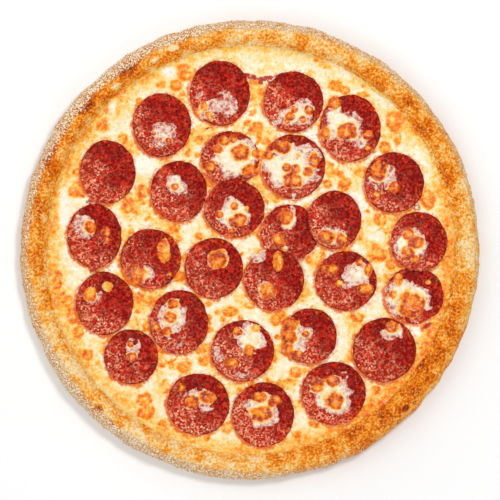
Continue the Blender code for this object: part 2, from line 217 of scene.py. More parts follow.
# Browned bubbles on the open cheese between the slices.
OPEN_BLISTERS: list[Blister] = [
    Blister(*row)
    for row in (
        (-96, 81, 4), (-86, 92, 1.6, 4, 0.8), (-94, 91, 2), (-82, 72, 3), (-113, 51, 3), (-113, 39, 5),
        (-109, 36, 2), (-58, 108, 3), (-48, 107, 4), (-42, 114, 5, 3.6), (-43, 119, 4, 2.6), (-72, 97, 2.5),
        (4, 79, 5, 4), (-33, 72, 3), (10, 71, 3), (7, 62, 3.4, 4), (-34, 62, 2), (-24, 44, 5, 4, 0.9),
        (2, 110, 2.5), (56, 107, 5, 3.4), (62, 104, 3), (95, 84, 6, 7), (96, 73, 2.6, 5, 0.8), (88, 67, 4),
        (89, 75, 4, 4, 0.6), (74, 101, 4.4, 2, 0.9), (54, 51, 3, 3, 0.5), (62, 43, 4), (50, 43, 3),
        (60, 41, 3), (-80, 28, 5, 4), (-70, 38, 4.5), (-77, 12, 2), (-48, 15, 2.5, 4), (-125, -20, 2.5, 7),
        (-119, -33, 4), (-66, -33, 4, 3.4), (-73, -40, 2), (-44, -5, 2), (-46, -17, 4, 4.6), (-33, 9, 3, 2.4),
        (8, 10, 4, 4.6), (-13, -40, 5, 3.4), (0, -36, 5, 2.2, 0.8), (-6, -44, 2), (-27, -35, 2), (20, -42, 4),
        (38, -7, 2), (83, -3, 6, 5), (92, -9, 4), (85, 20, 4, 4.6), (72, 8, 1.2), (64, -2, 3), (62, 0, 2.5),
        (116, 33, 5, 7), (70, -44, 4.4, 3.4), (127, -25, 2.5, 3.4, 0.7), (-115, -43, 4, 6),
        (-112, -53, 3.4, 5), (-106, -68, 3.5), (-69, -98, 5, 4.4), (-68, -106, 5.5, 4.4), (-73, -88, 2.5),
        (-84, -96, 3, 3, 0.6), (-67, -50, 3.5), (-57, -75, 2), (-43, -76, 5, 4), (-57, -113, 3, 2.4),
        (-46, -117, 4, 2.8), (-30, -72, 3.5), (-29, -64, 3), (-34, -66, 2), (17, -45, 4), (18, -57, 2),
        (30, -80, 4, 3.4), (15, -70, 3, 3.8), (-28, -122, 2.5), (-15, -116, 4, 4, 0.8), (42, -113, 4, 3),
        (30, -120, 3, 2.4), (0, -87, 2), (82, -91, 3), (113, -51, 2, 2.4),
    )
]

# Where red sauce and oil show beside the slices, turned along the streak they make.
SAUCE_STAINS: list[Patch] = [
    Patch(*row)
    for row in (
        (0, 113.2, 6, 2.0, 0.75, -20), (11, 112, 7, 2.0, 0.75, 8), (7, 109.5, 2.0, 1.6, 0.7),
        (12.5, 109.5, 1.8, 1.4, 0.7), (-102, 30, 7, 2.6, 0.66, -15), (-101, -13.5, 5, 2.4, 0.66, 10),
        (109, 28, 5, 3, 0.5, -50), (15.5, 17, 3.4, 0.9, 0.9, -50), (116, -49, 4, 1.6, 0.8, 35),
        (-27, 79.5, 3.6, 1.0, 0.6, 10), (72, -37, 4, 2, 0.4, 10),
    )
]

# Cheese that stayed pale and thick.
PALE_CHEESE: list[Patch] = [
    Patch(*row)
    for row in (
        (-52, 116, 7, 4), (62, 116, 14, 4.5, 0.6, -28), (88, 97, 12, 5, 0.6, -45), (113, 60, 14, 5, 0.6, -62),
        (-88, 93, 4, 5), (-69, 55, 10, 8), (-90, -11, 6, 5), (109, -52, 5, 4), (-121, 27, 4, 17),
        (40, 72, 6, 8), (70, 30, 6, 9), (-40, -20, 5, 10), (50, -75, 8, 6),
    )
]


class Shape:
    """A mesh whose points are moved, and values painted on them, as whole arrays."""

    def __init__(self, name: str, model: bmesh.types.BMesh) -> None:
        """Takes the shape over from a finished bmesh.

        Args:
            name: The name of the piece.
            model: The bmesh, which is freed.
        """
        self.mesh = bpy.data.meshes.new(name)
        model.to_mesh(self.mesh)
        model.free()

    def points(self) -> Array:
        """The points of the mesh, one to a row."""
        flat = np.empty(len(self.mesh.vertices) * 3)
        self.mesh.vertices.foreach_get("co", flat)
        return flat.reshape(-1, 3)

    def normals(self) -> Array:
        """The direction that each point faces."""
        flat = np.empty(len(self.mesh.vertices) * 3)
        self.mesh.vertices.foreach_get("normal", flat)
        return flat.reshape(-1, 3)

    def move(self, points: Array) -> None:
        """Puts the points in new places."""
        self.mesh.vertices.foreach_set("co", points.ravel())
        self.mesh.update()

    def paint(self, name: str, values: Array) -> None:
        """Stores one value for each point, which a material reads by its name."""
        layer = self.mesh.attributes.new(name, "FLOAT", "POINT")
        layer.data.foreach_set("value", np.asarray(values, np.float32))

    def dress(self, material: bpy.types.Material, slot: str, nodes: Sequence[str]) -> bpy.types.Object:
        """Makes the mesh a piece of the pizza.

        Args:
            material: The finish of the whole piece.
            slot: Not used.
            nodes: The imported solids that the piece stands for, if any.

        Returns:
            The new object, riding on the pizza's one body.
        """
        self.mesh.materials.append(material)
        self.mesh.shade_smooth()
        piece = bpy.data.objects.new(self.mesh.name, self.mesh)
        bpy.context.scene.collection.objects.link(piece)
        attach(piece, "root")
        if nodes:
            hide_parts(*nodes)
        logging.info("%s: %d faces", piece.name, len(self.mesh.polygons))
        return piece


def round_sheet(cells: int) -> bmesh.types.BMesh:
    """A square grid of cells drawn out to a disc of radius one, with its edge on the circle."""
    model = bmesh.new()
    bmesh.ops.create_grid(model, x_segments=cells, y_segments=cells, size=1.0)
    for vertex in model.verts:
        x, y = vertex.co.x, vertex.co.y
        vertex.co.x = x * math.sqrt(1.0 - y * y / 2.0)
        vertex.co.y = y * math.sqrt(1.0 - x * x / 2.0)
    return model


def close_below(model: bmesh.types.BMesh, rings: Sequence[Pair]) -> None:
    """Draws the open edge of a sheet down through rings and fills the last one.

    Args:
        model: A bmesh with one open edge loop.
        rings: For each ring, its share of the radius of the edge and its height.
    """
    edge = [item for item in model.edges if item.is_boundary]
    for share, height in rings:
        made = bmesh.ops.extrude_edge_only(model, edges=edge)["geom"]
        edge = [item for item in made if isinstance(item, bmesh.types.BMEdge)]
        for vertex in {corner for item in edge for corner in item.verts}:
            flat = vertex.co.xy.normalized() * share
            vertex.co = (flat.x, flat.y, height)
        edge = [item for item in edge if item.is_boundary]
    bmesh.ops.edgeloop_fill(model, edges=edge)
    bmesh.ops.recalc_face_normals(model, faces=model.faces[:])


class Mottle(NamedTuple):
    """Soft patches: their size in metres, the noise under which there are none, and that over which they are full."""

    length: float
    low: float
    high: float
    seed: int = 0
    detail: float = 2.0


class Specks(NamedTuple):
    """Scattered specks: their spacing in metres, the share of them that shows, and their radius in spacings."""

    length: float
    share: float
    size: float
    seed: int = 0


class Threads(NamedTuple):
    """Winding lines: the size in metres of the cloud whose middle level they follow, and their half width in it."""

    length: float
    width: float
    seed: int = 0


class Recipe:
    """Adds and joins the nodes of one material or node group."""

    def __init__(self, tree: bpy.types.NodeTree) -> None:
        """Works on one node tree."""
        self.tree = tree

    def add(self, kind: str, **settings: object) -> bpy.types.Node:
        """A new node of a kind, with its settings."""
        node = self.tree.nodes.new(kind)
        for name, value in settings.items():
            setattr(node, name, value)
        return node

    def feed(self, socket: Socket, value: object) -> None:
        """Joins an output to a socket, or sets the socket to a plain value."""
        if isinstance(value, Socket):
            self.tree.links.new(value, socket)
        else:
            socket.default_value = value

    def painted(self, name: str) -> Socket:
        """The value that a piece's points carry under a name."""
        return self.add("ShaderNodeAttribute", attribute_name=name).outputs["Fac"]

    def maths(self, operation: str, *values: object) -> Socket:
        """The result of one step of arithmetic."""
        node = self.add("ShaderNodeMath", operation=operation)
        for socket, value in zip(node.inputs, values):
            self.feed(socket, value)
        return node.outputs[0]

    def scaled(self, value: object, factor: object, offset: object = 0.0) -> Socket:
        """A value times a factor, plus an offset."""
        return self.maths("MULTIPLY_ADD", value, factor, offset)

    def step(self, value: object, low: object, high: object) -> Socket:
        """Nought at low, one at high and an even curve between."""
        node = self.add("ShaderNodeMapRange", interpolation_type="SMOOTHSTEP")
        self.feed(node.inputs["Value"], value)
        self.feed(node.inputs["From Min"], low)
        self.feed(node.inputs["From Max"], high)
        return node.outputs["Result"]

    def colours(self, value: object, stops: Sequence[tuple[float, Colour]]) -> Socket:
        """A colour read off a ramp of stops, each a place and a colour."""
        node = self.add("ShaderNodeValToRGB")
        ramp = node.color_ramp
        while len(ramp.elements) < len(stops):
            ramp.elements.new(1.0)
        for element, (place, colour) in zip(ramp.elements, stops):
            element.position = place
            element.color = colour
        self.feed(node.inputs["Fac"], value)
        return node.outputs["Color"]

    def blend(self, share: object, first: object, second: object) -> Socket:
        """The first colour with a share of the second."""
        node = self.add("ShaderNodeMix", data_type="RGBA", blend_type="MIX")
        self.feed(node.inputs["Factor"], share)
        self.feed(node.inputs[6], first)
        self.feed(node.inputs[7], second)
        return node.outputs[2]

    def draw(self, pattern: Mottle | Specks | Threads) -> Socket:
        """The mask of a pattern, from the node group of its kind with the pattern's own values."""
        build_group, stride = PATTERN_GROUPS[type(pattern)]
        node = self.add("ShaderNodeGroup", node_tree=build_group())
        node.inputs["Scale"].default_value = 1.0 / pattern.length
        node.inputs["Shift"].default_value = [part * pattern.seed for part in stride]
        for name, value in pattern._asdict().items():
            if name.title() in node.inputs:
                node.inputs[name.title()].default_value = value
        return node.outputs["Mask"]

    def relief(self, heights: Sequence[tuple[Socket, float]], distance: float) -> Socket:
        """A surface normal from heights and their weights, whose full height is a distance in metres."""
        total: object = 0.0
        for height, weight in heights:
            total = self.scaled(height, weight, total)
        node = self.add("ShaderNodeBump")
        node.inputs["Strength"].default_value = 1.0
        node.inputs["Distance"].default_value = distance
        self.feed(node.inputs["Height"], total)
        return node.outputs["Normal"]


class PatternGroup:
    """A shader node group that makes a mask from one texture, read at shifted Object coordinates."""

    def __init__(self, name: str, texture: str, inputs: Sequence[str]) -> None:
        """Makes the group's sockets and its texture.

        Args:
            name: The group's name.
            texture: The kind of its texture node.
            inputs: Names of its number inputs beside Scale.
        """
        self.tree = bpy.data.node_groups.new(name, "ShaderNodeTree")
        for label in ("Scale", *inputs):
            self.tree.interface.new_socket(name=label, in_out="INPUT", socket_type="NodeSocketFloat")
        self.tree.interface.new_socket(name="Shift", in_out="INPUT", socket_type="NodeSocketVector")
        self.tree.interface.new_socket(name="Mask", in_out="OUTPUT", socket_type="NodeSocketFloat")
        self.recipe = Recipe(self.tree)
        self.given = self.recipe.add("NodeGroupInput").outputs
        move = self.recipe.add("ShaderNodeVectorMath", operation="ADD")
        self.recipe.feed(move.inputs[0], self.recipe.add("ShaderNodeTexCoord").outputs["Object"])
        self.recipe.feed(move.inputs[1], self.given["Shift"])
        self.texture = self.recipe.add(texture)
        self.recipe.feed(self.texture.inputs["Vector"], move.outputs[0])
        self.recipe.feed(self.texture.inputs["Scale"], self.given["Scale"])

    def finish(self, mask: Socket) -> bpy.types.NodeTree:
        """Puts the mask out and hands over the finished group."""
        self.recipe.feed(self.recipe.add("NodeGroupOutput").inputs["Mask"], mask)
        return self.tree


@cache
def mottle_group() -> bpy.types.NodeTree:
    """The group that makes soft patches, built on its first use."""
    group = PatternGroup("food_mottle", "ShaderNodeTexNoise", ("Detail", "Low", "High"))
    group.recipe.feed(group.texture.inputs["Detail"], group.given["Detail"])
    return group.finish(group.recipe.step(group.texture.outputs["Fac"], group.given["Low"], group.given["High"]))


@cache
def speck_group() -> bpy.types.NodeTree:
    """The group that scatters specks, with soft edges that start at 0.4 of their radius, built on its first use."""
    group = PatternGroup("food_specks", "ShaderNodeTexVoronoi", ("Share", "Size"))
    recipe, size = group.recipe, group.given["Size"]
    parts = recipe.add("ShaderNodeSeparateColor")
    recipe.feed(parts.inputs[0], group.texture.outputs["Color"])
    kept = recipe.maths("LESS_THAN", parts.outputs[0], group.given["Share"])
    disc = recipe.step(group.texture.outputs["Distance"], size, recipe.scaled(size, 0.4))
    return group.finish(recipe.maths("MULTIPLY", kept, disc))


@cache
def thread_group() -> bpy.types.NodeTree:
    """The group that draws winding lines, with soft edges from 0.3 of their width, built on its first use."""
    group = PatternGroup("food_threads", "ShaderNodeTexNoise", ("Width",))
    recipe, width = group.recipe, group.given["Width"]
    group.texture.inputs["Detail"].default_value = 1.0
    off_middle = recipe.maths("ABSOLUTE", recipe.scaled(group.texture.outputs["Fac"], 1.0, -0.5))
    return group.finish(recipe.step(off_middle, width, recipe.scaled(width, 0.3)))


# For each kind of pattern, the function that builds its group and how far a seed moves it along X, Y and Z.
PATTERN_GROUPS = {
    Mottle: (mottle_group, (0.31, 0.17, 0.23)),
    Specks: (speck_group, (0.19, 0.29, 0.11)),
    Threads: (thread_group, (0.27, 0.13, 0.21)),
}


def new_material(name: str) -> tuple[bpy.types.Material, Recipe, bpy.types.Node]:
    """A material with its recipe and its Principled shader."""
    material = bpy.data.materials.new(name)
    material.use_nodes = True
    return material, Recipe(material.node_tree), material.node_tree.nodes["Principled BSDF"]


@dataclass(frozen=True)
class Finish:
    """What the finishes share: roughness that follows a noise, reflection, and relief from weighted heights."""

    least_roughness: float = 0.5
    roughness_range: float = 0.2
    specular: float = 0.5
    relief_depth: float = 1.0 * MM
    relief_weights: Pair = (0.5, 0.5)

    def coat(self, recipe: Recipe, shader: bpy.types.Node, colour: Socket, grain: Socket, *heights: Socket) -> None:
        """Joins the finish to its shader.

        Args:
            recipe: The material's recipe.
            shader: The material's shader node.
            colour: The base colour.
            grain: The noise that the roughness follows.
            heights: The heights of the relief, one for each weight, or none for a smooth finish.
        """
        recipe.feed(shader.inputs["Base Color"], colour)
        recipe.feed(shader.inputs["Roughness"], recipe.scaled(grain, self.roughness_range, self.least_roughness))
        shader.inputs["Specular IOR Level"].default_value = self.specular
        if heights:
            normal = recipe.relief(list(zip(heights, self.relief_weights)), self.relief_depth)
            recipe.feed(shader.inputs["Normal"], normal)


@dataclass(frozen=True)
class CheeseFinish(Finish):
    """Melted cheese: cream to yellow, browned in bubbles, pink where it is thin, red where sauce shows, with painted
    glints, and orange oil at the slices' edges that is partly painted shadow.
    """

    # From pale cheese to the darkest brown, with the level of browning at which each colour is reached.
    shades: tuple[tuple[float, Colour], ...] = (
        (0.0, srgb(255, 247, 230)),
        (0.12, srgb(255, 234, 192)),
        (0.26, srgb(255, 216, 130)),
        (0.4, srgb(255, 186, 60)),
        (0.54, srgb(252, 142, 10)),
        (0.68, srgb(236, 98, 0)),
        (0.84, srgb(184, 54, 0)),
        (1.0, srgb(116, 24, 0)),
    )
    white: Colour = srgb(255, 247, 230)
    toasted: Colour = srgb(252, 142, 10)
    pink: Colour = srgb(238, 190, 168)
    flesh: Colour = srgb(190, 74, 56)
    sauce: Colour = srgb(182, 36, 10)
    oil: Colour = srgb(228, 106, 12)
    fine: Mottle = Mottle(1.9 * MM, 0.28, 0.72, 1)
    lumps: Mottle = Mottle(3.4 * MM, 0.32, 0.68, 2, 3.0)
    holes: Mottle = Mottle(2.6 * MM, 0.3, 0.7, 31)
    # White specks that are painted glints on the paler cheese.
    crumbs: Specks = Specks(2.4 * MM, 0.4, 0.32, 35)
    scorched: Specks = Specks(2.9 * MM, 0.3, 0.34, 37)
    veins: Threads = Threads(4.6 * MM, 0.05, 38)
    # White winding lines on thin cheese: strings of cheese and painted glints.
    lace: Threads = Threads(3.4 * MM, 0.06, 32)
    # How far noise spreads the level of pale cheese, and how much more that of brown cheese.
    spread: float = 0.1
    brown_spread: float = 0.2
    # Strengths of the patterns, and of the noise that breaks up the edges of oil with its painted shadow, sauce and
    # thin cheese.
    crumb_strength: float = 0.7
    scorch_strength: float = 0.5
    vein_strength: float = 0.45
    lace_strength: float = 0.5
    oil_break: float = 0.4
    sauce_break: float = 0.3
    thin_break: float = 0.6
    # Where each mask starts and is full: on browning, on halo, on stain, and the rest on thinness.
    crumbs_over: Range = (0.62, 0.3)
    oil_over: Range = (0.1, 0.9)
    sauce_over: Range = (0.3, 0.7)
    pink_over: Range = (0.15, 0.7)
    flesh_over: Range = (0.6, 1.2)
    veins_over: Range = (0.3, 0.7)
    lace_over: Range = (0.05, 0.5)
    least_roughness: float = 0.14
    roughness_range: float = 0.16
    specular: float = 0.34
    glow: float = 0.1
    glow_radius: tuple[float, float, float] = (0.004, 0.002, 0.001)
    glow_scale: float = 0.5
    relief_depth: float = 0.6 * MM
    relief_weights: Pair = (0.7, 0.3)

    def build(self) -> bpy.types.Material:
        """The material, which reads the painted values browning, thinness, stain and halo."""
        material, recipe, shader = new_material("melted_cheese")
        fine, lumps, browning = recipe.draw(self.fine), recipe.draw(self.lumps), recipe.painted("browning")
        jitter = recipe.scaled(fine, 1.0, -0.5)
        drift = recipe.maths("ADD", jitter, recipe.scaled(lumps, 1.0, -0.5))
        spread = recipe.scaled(browning, self.brown_spread, self.spread)
        colour = recipe.colours(recipe.scaled(drift, spread, browning), self.shades)
        # Painted glints: white specks, only where the cheese is pale.
        crumbs = recipe.maths("MULTIPLY", recipe.draw(self.crumbs), recipe.step(browning, *self.crumbs_over))
        colour = recipe.blend(recipe.scaled(crumbs, self.crumb_strength), colour, self.white)
        scorched = recipe.scaled(recipe.draw(self.scorched), self.scorch_strength)
        colour = recipe.blend(scorched, colour, self.toasted)
        # Orange oil round the slices, also painted shadow at their lower left.
        halo = recipe.scaled(jitter, self.oil_break, recipe.painted("halo"))
        colour = recipe.blend(recipe.step(halo, *self.oil_over), colour, self.oil)
        stain = recipe.scaled(jitter, self.sauce_break, recipe.painted("stain"))
        colour = recipe.blend(recipe.step(stain, *self.sauce_over), colour, self.sauce)
        holes = recipe.scaled(recipe.draw(self.holes), 1.0, -0.5)
        thin = recipe.scaled(holes, self.thin_break, recipe.painted("thinness"))
        colour = recipe.blend(recipe.step(thin, *self.pink_over), colour, self.pink)
        colour = recipe.blend(recipe.step(thin, *self.flesh_over), colour, self.flesh)
        veins = recipe.maths("MULTIPLY", recipe.draw(self.veins), recipe.step(thin, *self.veins_over))
        colour = recipe.blend(recipe.scaled(veins, self.vein_strength), colour, self.flesh)
        # Lace of cheese strings at thin margins, partly painted glints.
        lace = recipe.maths("MULTIPLY", recipe.draw(self.lace), recipe.step(thin, *self.lace_over))
        colour = recipe.blend(recipe.scaled(lace, self.lace_strength), colour, self.white)
        self.coat(recipe, shader, colour, fine, lumps, fine)
        shader.inputs["Subsurface Weight"].default_value = self.glow
        shader.inputs["Subsurface Radius"].default_value = self.glow_radius
        shader.inputs["Subsurface Scale"].default_value = self.glow_scale
        return material


@dataclass(frozen=True)
class PepperoniFinish(Finish):
    """Cured sausage: deep red with pink and pale specks of fat, glossy with oil, dark at its charred edge with
    painted shade there too; a painted sheen and painted glints lie on the side towards the light and painted shade on
    the side away from it.
    """

    deep: Colour = srgb(128, 0, 0)
    red: Colour = srgb(184, 4, 0)
    bright: Colour = srgb(236, 46, 14)
    # The colour of the painted sheen on the side towards the light.
    shine: Colour = srgb(216, 64, 36)
    # Fat colours, which also serve as painted glints where the sheen is.
    fat: Colour = srgb(255, 160, 122)
    pale_fat: Colour = srgb(255, 232, 204)
    char: Colour = srgb(140, 12, 2)
    crease: Colour = srgb(84, 0, 0)
    flame: Colour = srgb(240, 104, 16)
    red_levels: tuple[float, float, float] = (0.08, 0.5, 0.95)
    fine: Mottle = Mottle(2.0 * MM, 0.33, 0.67, 4, 4.0)
    patches: Mottle = Mottle(11.0 * MM, 0.4, 0.62, 6)
    clusters: Mottle = Mottle(5.5 * MM, 0.4, 0.6, 39)
    breaks: Mottle = Mottle(1.6 * MM, 0.34, 0.54, 13)
    grit: Mottle = Mottle(1.5 * MM, 0.56, 0.63, 14, 1.0)
    flames: Mottle = Mottle(2.2 * MM, 0.57, 0.69, 8)
    specks: Specks = Specks(2.1 * MM, 0.5, 0.32, 7)
    worms: Threads = Threads(3.6 * MM, 0.07, 5)
    creases: Threads = Threads(2.6 * MM, 0.06, 36)
    patch_strength: float = 0.5
    shine_strength: float = 0.5
    crease_strength: float = 0.36
    grit_strength: float = 0.8
    # The sheen under which a slice gets painted shade, a deeper red on the side away from the light.
    matt_under: float = 0.3
    # How much fat and painted glint shows where there is no sheen, and how much more with sheen, where the fat specks
    # are also painted glints; and so for its clusters.
    least_fat: float = 0.08
    sheen_fat: float = 1.1
    least_cluster: float = 0.5
    cluster_range: float = 0.9
    # Where orange fat and the dark edge, charred and painted shade, start and are full, as shares of the slice's
    # radius.
    flames_over: Range = (0.74, 0.97)
    char_over: Range = (0.95, 1.06)
    char_break: float = 0.04
    least_roughness: float = 0.1
    roughness_range: float = 0.2
    specular: float = 0.1
    relief_depth: float = 1.0 * MM
    relief_weights: Pair = (0.5, 0.25)

    def build(self) -> bpy.types.Material:
        """The material, which reads the painted values share and sheen; sheen is a painted sheen on the side towards
        the light.
        """
        material, recipe, shader = new_material("pepperoni")
        fine, worms, patches = recipe.draw(self.fine), recipe.draw(self.worms), recipe.draw(self.patches)
        sheen, share = recipe.painted("sheen"), recipe.painted("share")
        base = recipe.colours(fine, list(zip(self.red_levels, (self.deep, self.red, self.bright))))
        base = recipe.blend(recipe.scaled(patches, self.patch_strength), base, self.deep)
        # Painted shade: deeper red on the side away from the light, where there is little sheen.
        base = recipe.blend(recipe.maths("SUBTRACT", self.matt_under, sheen), base, self.deep)
        # Painted sheen: a lighter pink on the side of the slice towards the light.
        base = recipe.blend(recipe.scaled(sheen, self.shine_strength), base, self.shine)
        clusters = recipe.scaled(recipe.draw(self.clusters), self.cluster_range, self.least_cluster)
        # Fat specks, worms and grit: real fat, and painted glints where the painted sheen is.
        fat_and_glint_mask = recipe.maths("MULTIPLY", recipe.scaled(sheen, self.sheen_fat, self.least_fat), clusters)
        broken = recipe.maths("MULTIPLY", worms, recipe.draw(self.breaks))
        colour = recipe.blend(recipe.maths("MULTIPLY", broken, fat_and_glint_mask), base, self.fat)
        # Darker red winding lines over the whole slice.
        creases = recipe.scaled(recipe.draw(self.creases), self.crease_strength)
        colour = recipe.blend(creases, colour, self.crease)
        grit = recipe.maths("MULTIPLY", recipe.draw(self.grit), fat_and_glint_mask)
        colour = recipe.blend(recipe.scaled(grit, self.grit_strength), colour, self.fat)
        specks = recipe.maths("MULTIPLY", recipe.draw(self.specks), fat_and_glint_mask)
        colour = recipe.blend(specks, colour, self.pale_fat)
        flames = recipe.maths("MULTIPLY", recipe.draw(self.flames), recipe.step(share, *self.flames_over))
        colour = recipe.blend(flames, colour, self.flame)
        # The dark edge: charred, and painted shade along the slice's edge.
        edge = recipe.scaled(patches, self.char_break, share)
        colour = recipe.blend(recipe.step(edge, *self.char_over), colour, self.char)
        self.coat(recipe, shader, colour, fine, fine, worms)
        return material


@dataclass(frozen=True)
class CrustFinish(Finish):
    """Baked dough: pale where it meets the cheese, golden to brown on the rim, floury at its outer side."""

    # From pale dough to the darkest brown, with the toast at which each colour is reached.
    shades: tuple[tuple[float, Colour], ...] = (
        (0.08, srgb(255, 229, 180)),
        (0.3, srgb(255, 193, 90)),
        (0.5, srgb(250, 146, 18)),
        (0.74, srgb(212, 92, 0)),
        (1.0, srgb(122, 48, 8)),
    )
    pale: Colour = srgb(255, 229, 180)
    brown: Colour = srgb(212, 92, 0)
    flour: Colour = srgb(255, 238, 206)
    sand: Colour = srgb(170, 84, 22)
    fine: Mottle = Mottle(1.6 * MM, 0.28, 0.72, 9, 3.0)
    grain: Mottle = Mottle(1.1 * MM, 0.34, 0.66, 10)
    patches: Mottle = Mottle(9.0 * MM, 0.35, 0.65, 11, 3.0)
    burnt: Specks = Specks(2.3 * MM, 0.4, 0.34, 34)
    flecks: Specks = Specks(1.7 * MM, 0.45, 0.38, 33)
    # How far the fine noise and the patches spread the toast, and what is taken off for each.
    fine_spread: Line = (0.44, -0.22)
    patch_spread: Line = (0.27, -0.13)
    burnt_strength: float = 0.5
    fleck_strength: float = 0.6
    flour_strength: float = 0.64
    dust_over: Range = (0.01, 0.27)
    least_roughness: float = 0.55
    roughness_range: float = 0.2
    specular: float = 0.14
    relief_depth: float = 0.8 * MM
    relief_weights: Pair = (0.5, 0.3)

    def build(self) -> bpy.types.Material:
        """The material, which reads the painted values toast and flour."""
        material, recipe, shader = new_material("crust")
        fine, grain = recipe.draw(self.fine), recipe.draw(self.grain)
        jitter = recipe.scaled(fine, *self.fine_spread)
        drift = recipe.scaled(recipe.draw(self.patches), *self.patch_spread)
        toast = recipe.maths("ADD", recipe.painted("toast"), recipe.maths("ADD", jitter, drift))
        colour = recipe.colours(toast, self.shades)
        burnt = recipe.scaled(recipe.draw(self.burnt), self.burnt_strength)
        colour = recipe.blend(burnt, colour, self.brown)
        flecks = recipe.scaled(recipe.draw(self.flecks), self.fleck_strength)
        colour = recipe.blend(flecks, colour, self.pale)
        amount = recipe.scaled(recipe.painted("flour"), self.flour_strength)
        colour = recipe.blend(amount, colour, self.sand)
        dust = recipe.maths("SUBTRACT", recipe.maths("ADD", grain, amount), 1.0)
        colour = recipe.blend(recipe.step(dust, *self.dust_over), colour, self.flour)
        self.coat(recipe, shader, colour, grain, fine, grain)
        return material


@dataclass(frozen=True)
class SemolinaFinish(Finish):
    """Grains of semolina, toasted from cream to brown."""

    shades: tuple[tuple[float, Colour], ...] = ((0.1, srgb(244, 224, 196)), (1.0, srgb(196, 140, 84)))
    cloud: Mottle = Mottle(0.5 * MM, 0.3, 0.7, 12)
    tone_spread: float = 0.15
    least_roughness: float = 0.7
    roughness_range: float = 0.15

    def build(self) -> bpy.types.Material:
        """The material, which reads the painted value tone."""
        material, recipe, shader = new_material("semolina")
        cloud = recipe.draw(self.cloud)
        tone = recipe.scaled(cloud, self.tone_spread, recipe.painted("tone"))
        self.coat(recipe, shader, recipe.colours(tone, self.shades), cloud)
        return material


@dataclass
class SliceSeat:
    """Where a packed slice lies: its middle, half sizes, and the leaning plane of its underside."""

    number: int
    middle: Array
    half: Array
    slope: Array
    underside: float
    thickness: float = 2.1 * MM
    hollow: float = 0.28
    # The noise of the outline, read on circles of one radius that lie one slice above another.
    outline_noise: tuple[Layer, ...] = (Layer(0.032, 1.0), Layer(0.022, 0.3, 2), Layer(0.011, 0.12, 3))
    outline_radius: float = 1.3
    outline_rise: float = 7.0
    outline_steps: int = 361
    # The bumps of the upper face, and the shares over which they grow from the edge.
    bump: float = 0.18 * MM
    bump_length: float = 4.2 * MM
    fine_bump: Layer = Layer(0.1 * MM, 1.7 * MM, 3)
    bumps_over: Range = (1.0, 0.85)
    diagonal: float = 1.42
    outline: Array = field(init=False)
    turns: Array = field(init=False)

    def __post_init__(self) -> None:
        """Draws the slice's slightly uneven outline."""
        self.turns = np.linspace(-math.pi, math.pi, self.outline_steps)
        across, along = self.outline_radius * np.cos(self.turns), self.outline_radius * np.sin(self.turns)
        places = np.column_stack((across, along, np.full(len(self.turns), self.outline_rise * self.number)))
        self.outline = 1.0 + layered_noise(places, *self.outline_noise)

    @classmethod
    def of_node(cls, number: int, node: bpy.types.Object) -> "SliceSeat":
        """Reads a seat off a packed slice.

        Args:
            number: The slice's number.
            node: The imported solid.

        Returns:
            The seat, whose plane fits the solid's flat underside.
        """
        low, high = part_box(node.name)
        middle = np.array((low.x + high.x, low.y + high.y)) / 2.0
        half = np.array((high.x - low.x, high.y - low.y)) / 2.0
        points = np.array([vertex.co for vertex in node.data.vertices])
        offsets = points[:, :2] - middle
        columns = np.column_stack((offsets, np.ones(len(points))))
        slope = np.linalg.lstsq(columns, points[:, 2], rcond=None)[0][:2]
        return cls(number, middle, half, slope, float((points[:, 2] - offsets @ slope).min()))

    def share(self, x: Array, y: Array) -> Array:
        """Nought at the slice's middle and one at its edge."""
        across, along = x - self.middle[0], y - self.middle[1]
        bend = np.interp(np.arctan2(along, across), self.turns, self.outline)
        return np.hypot(across / self.half[0], along / self.half[1]) / bend

    def gap(self, share: Array) -> Array:
        """How far outside the slice's edge a share lies."""
        return (share - 1.0) * self.half.mean()

    def lower_left(self, x: Array, y: Array) -> Array:
        """How far places lie to the slice's lower left, about one at its edge there and minus one opposite."""
        return (self.middle.sum() - x - y) / (self.diagonal * self.half.mean())

    def plane(self, x: Array, y: Array) -> Array:
        """Height of the slice's underside."""
        return self.underside + (x - self.middle[0]) * self.slope[0] + (y - self.middle[1]) * self.slope[1]

    def top(self, x: Array, y: Array) -> Array:
        """Height of the slice's upper face, which is hollow in its middle."""
        share = np.minimum(self.share(x, y), 1.0)
        rise = 1.0 - self.hollow + self.hollow * share**3
        bumps = layered_noise(flat_places(x, y), Layer(self.bump, self.bump_length, self.number), self.fine_bump)
        return self.plane(x, y) + self.thickness * rise + bumps * smooth_step(*self.bumps_over, share)


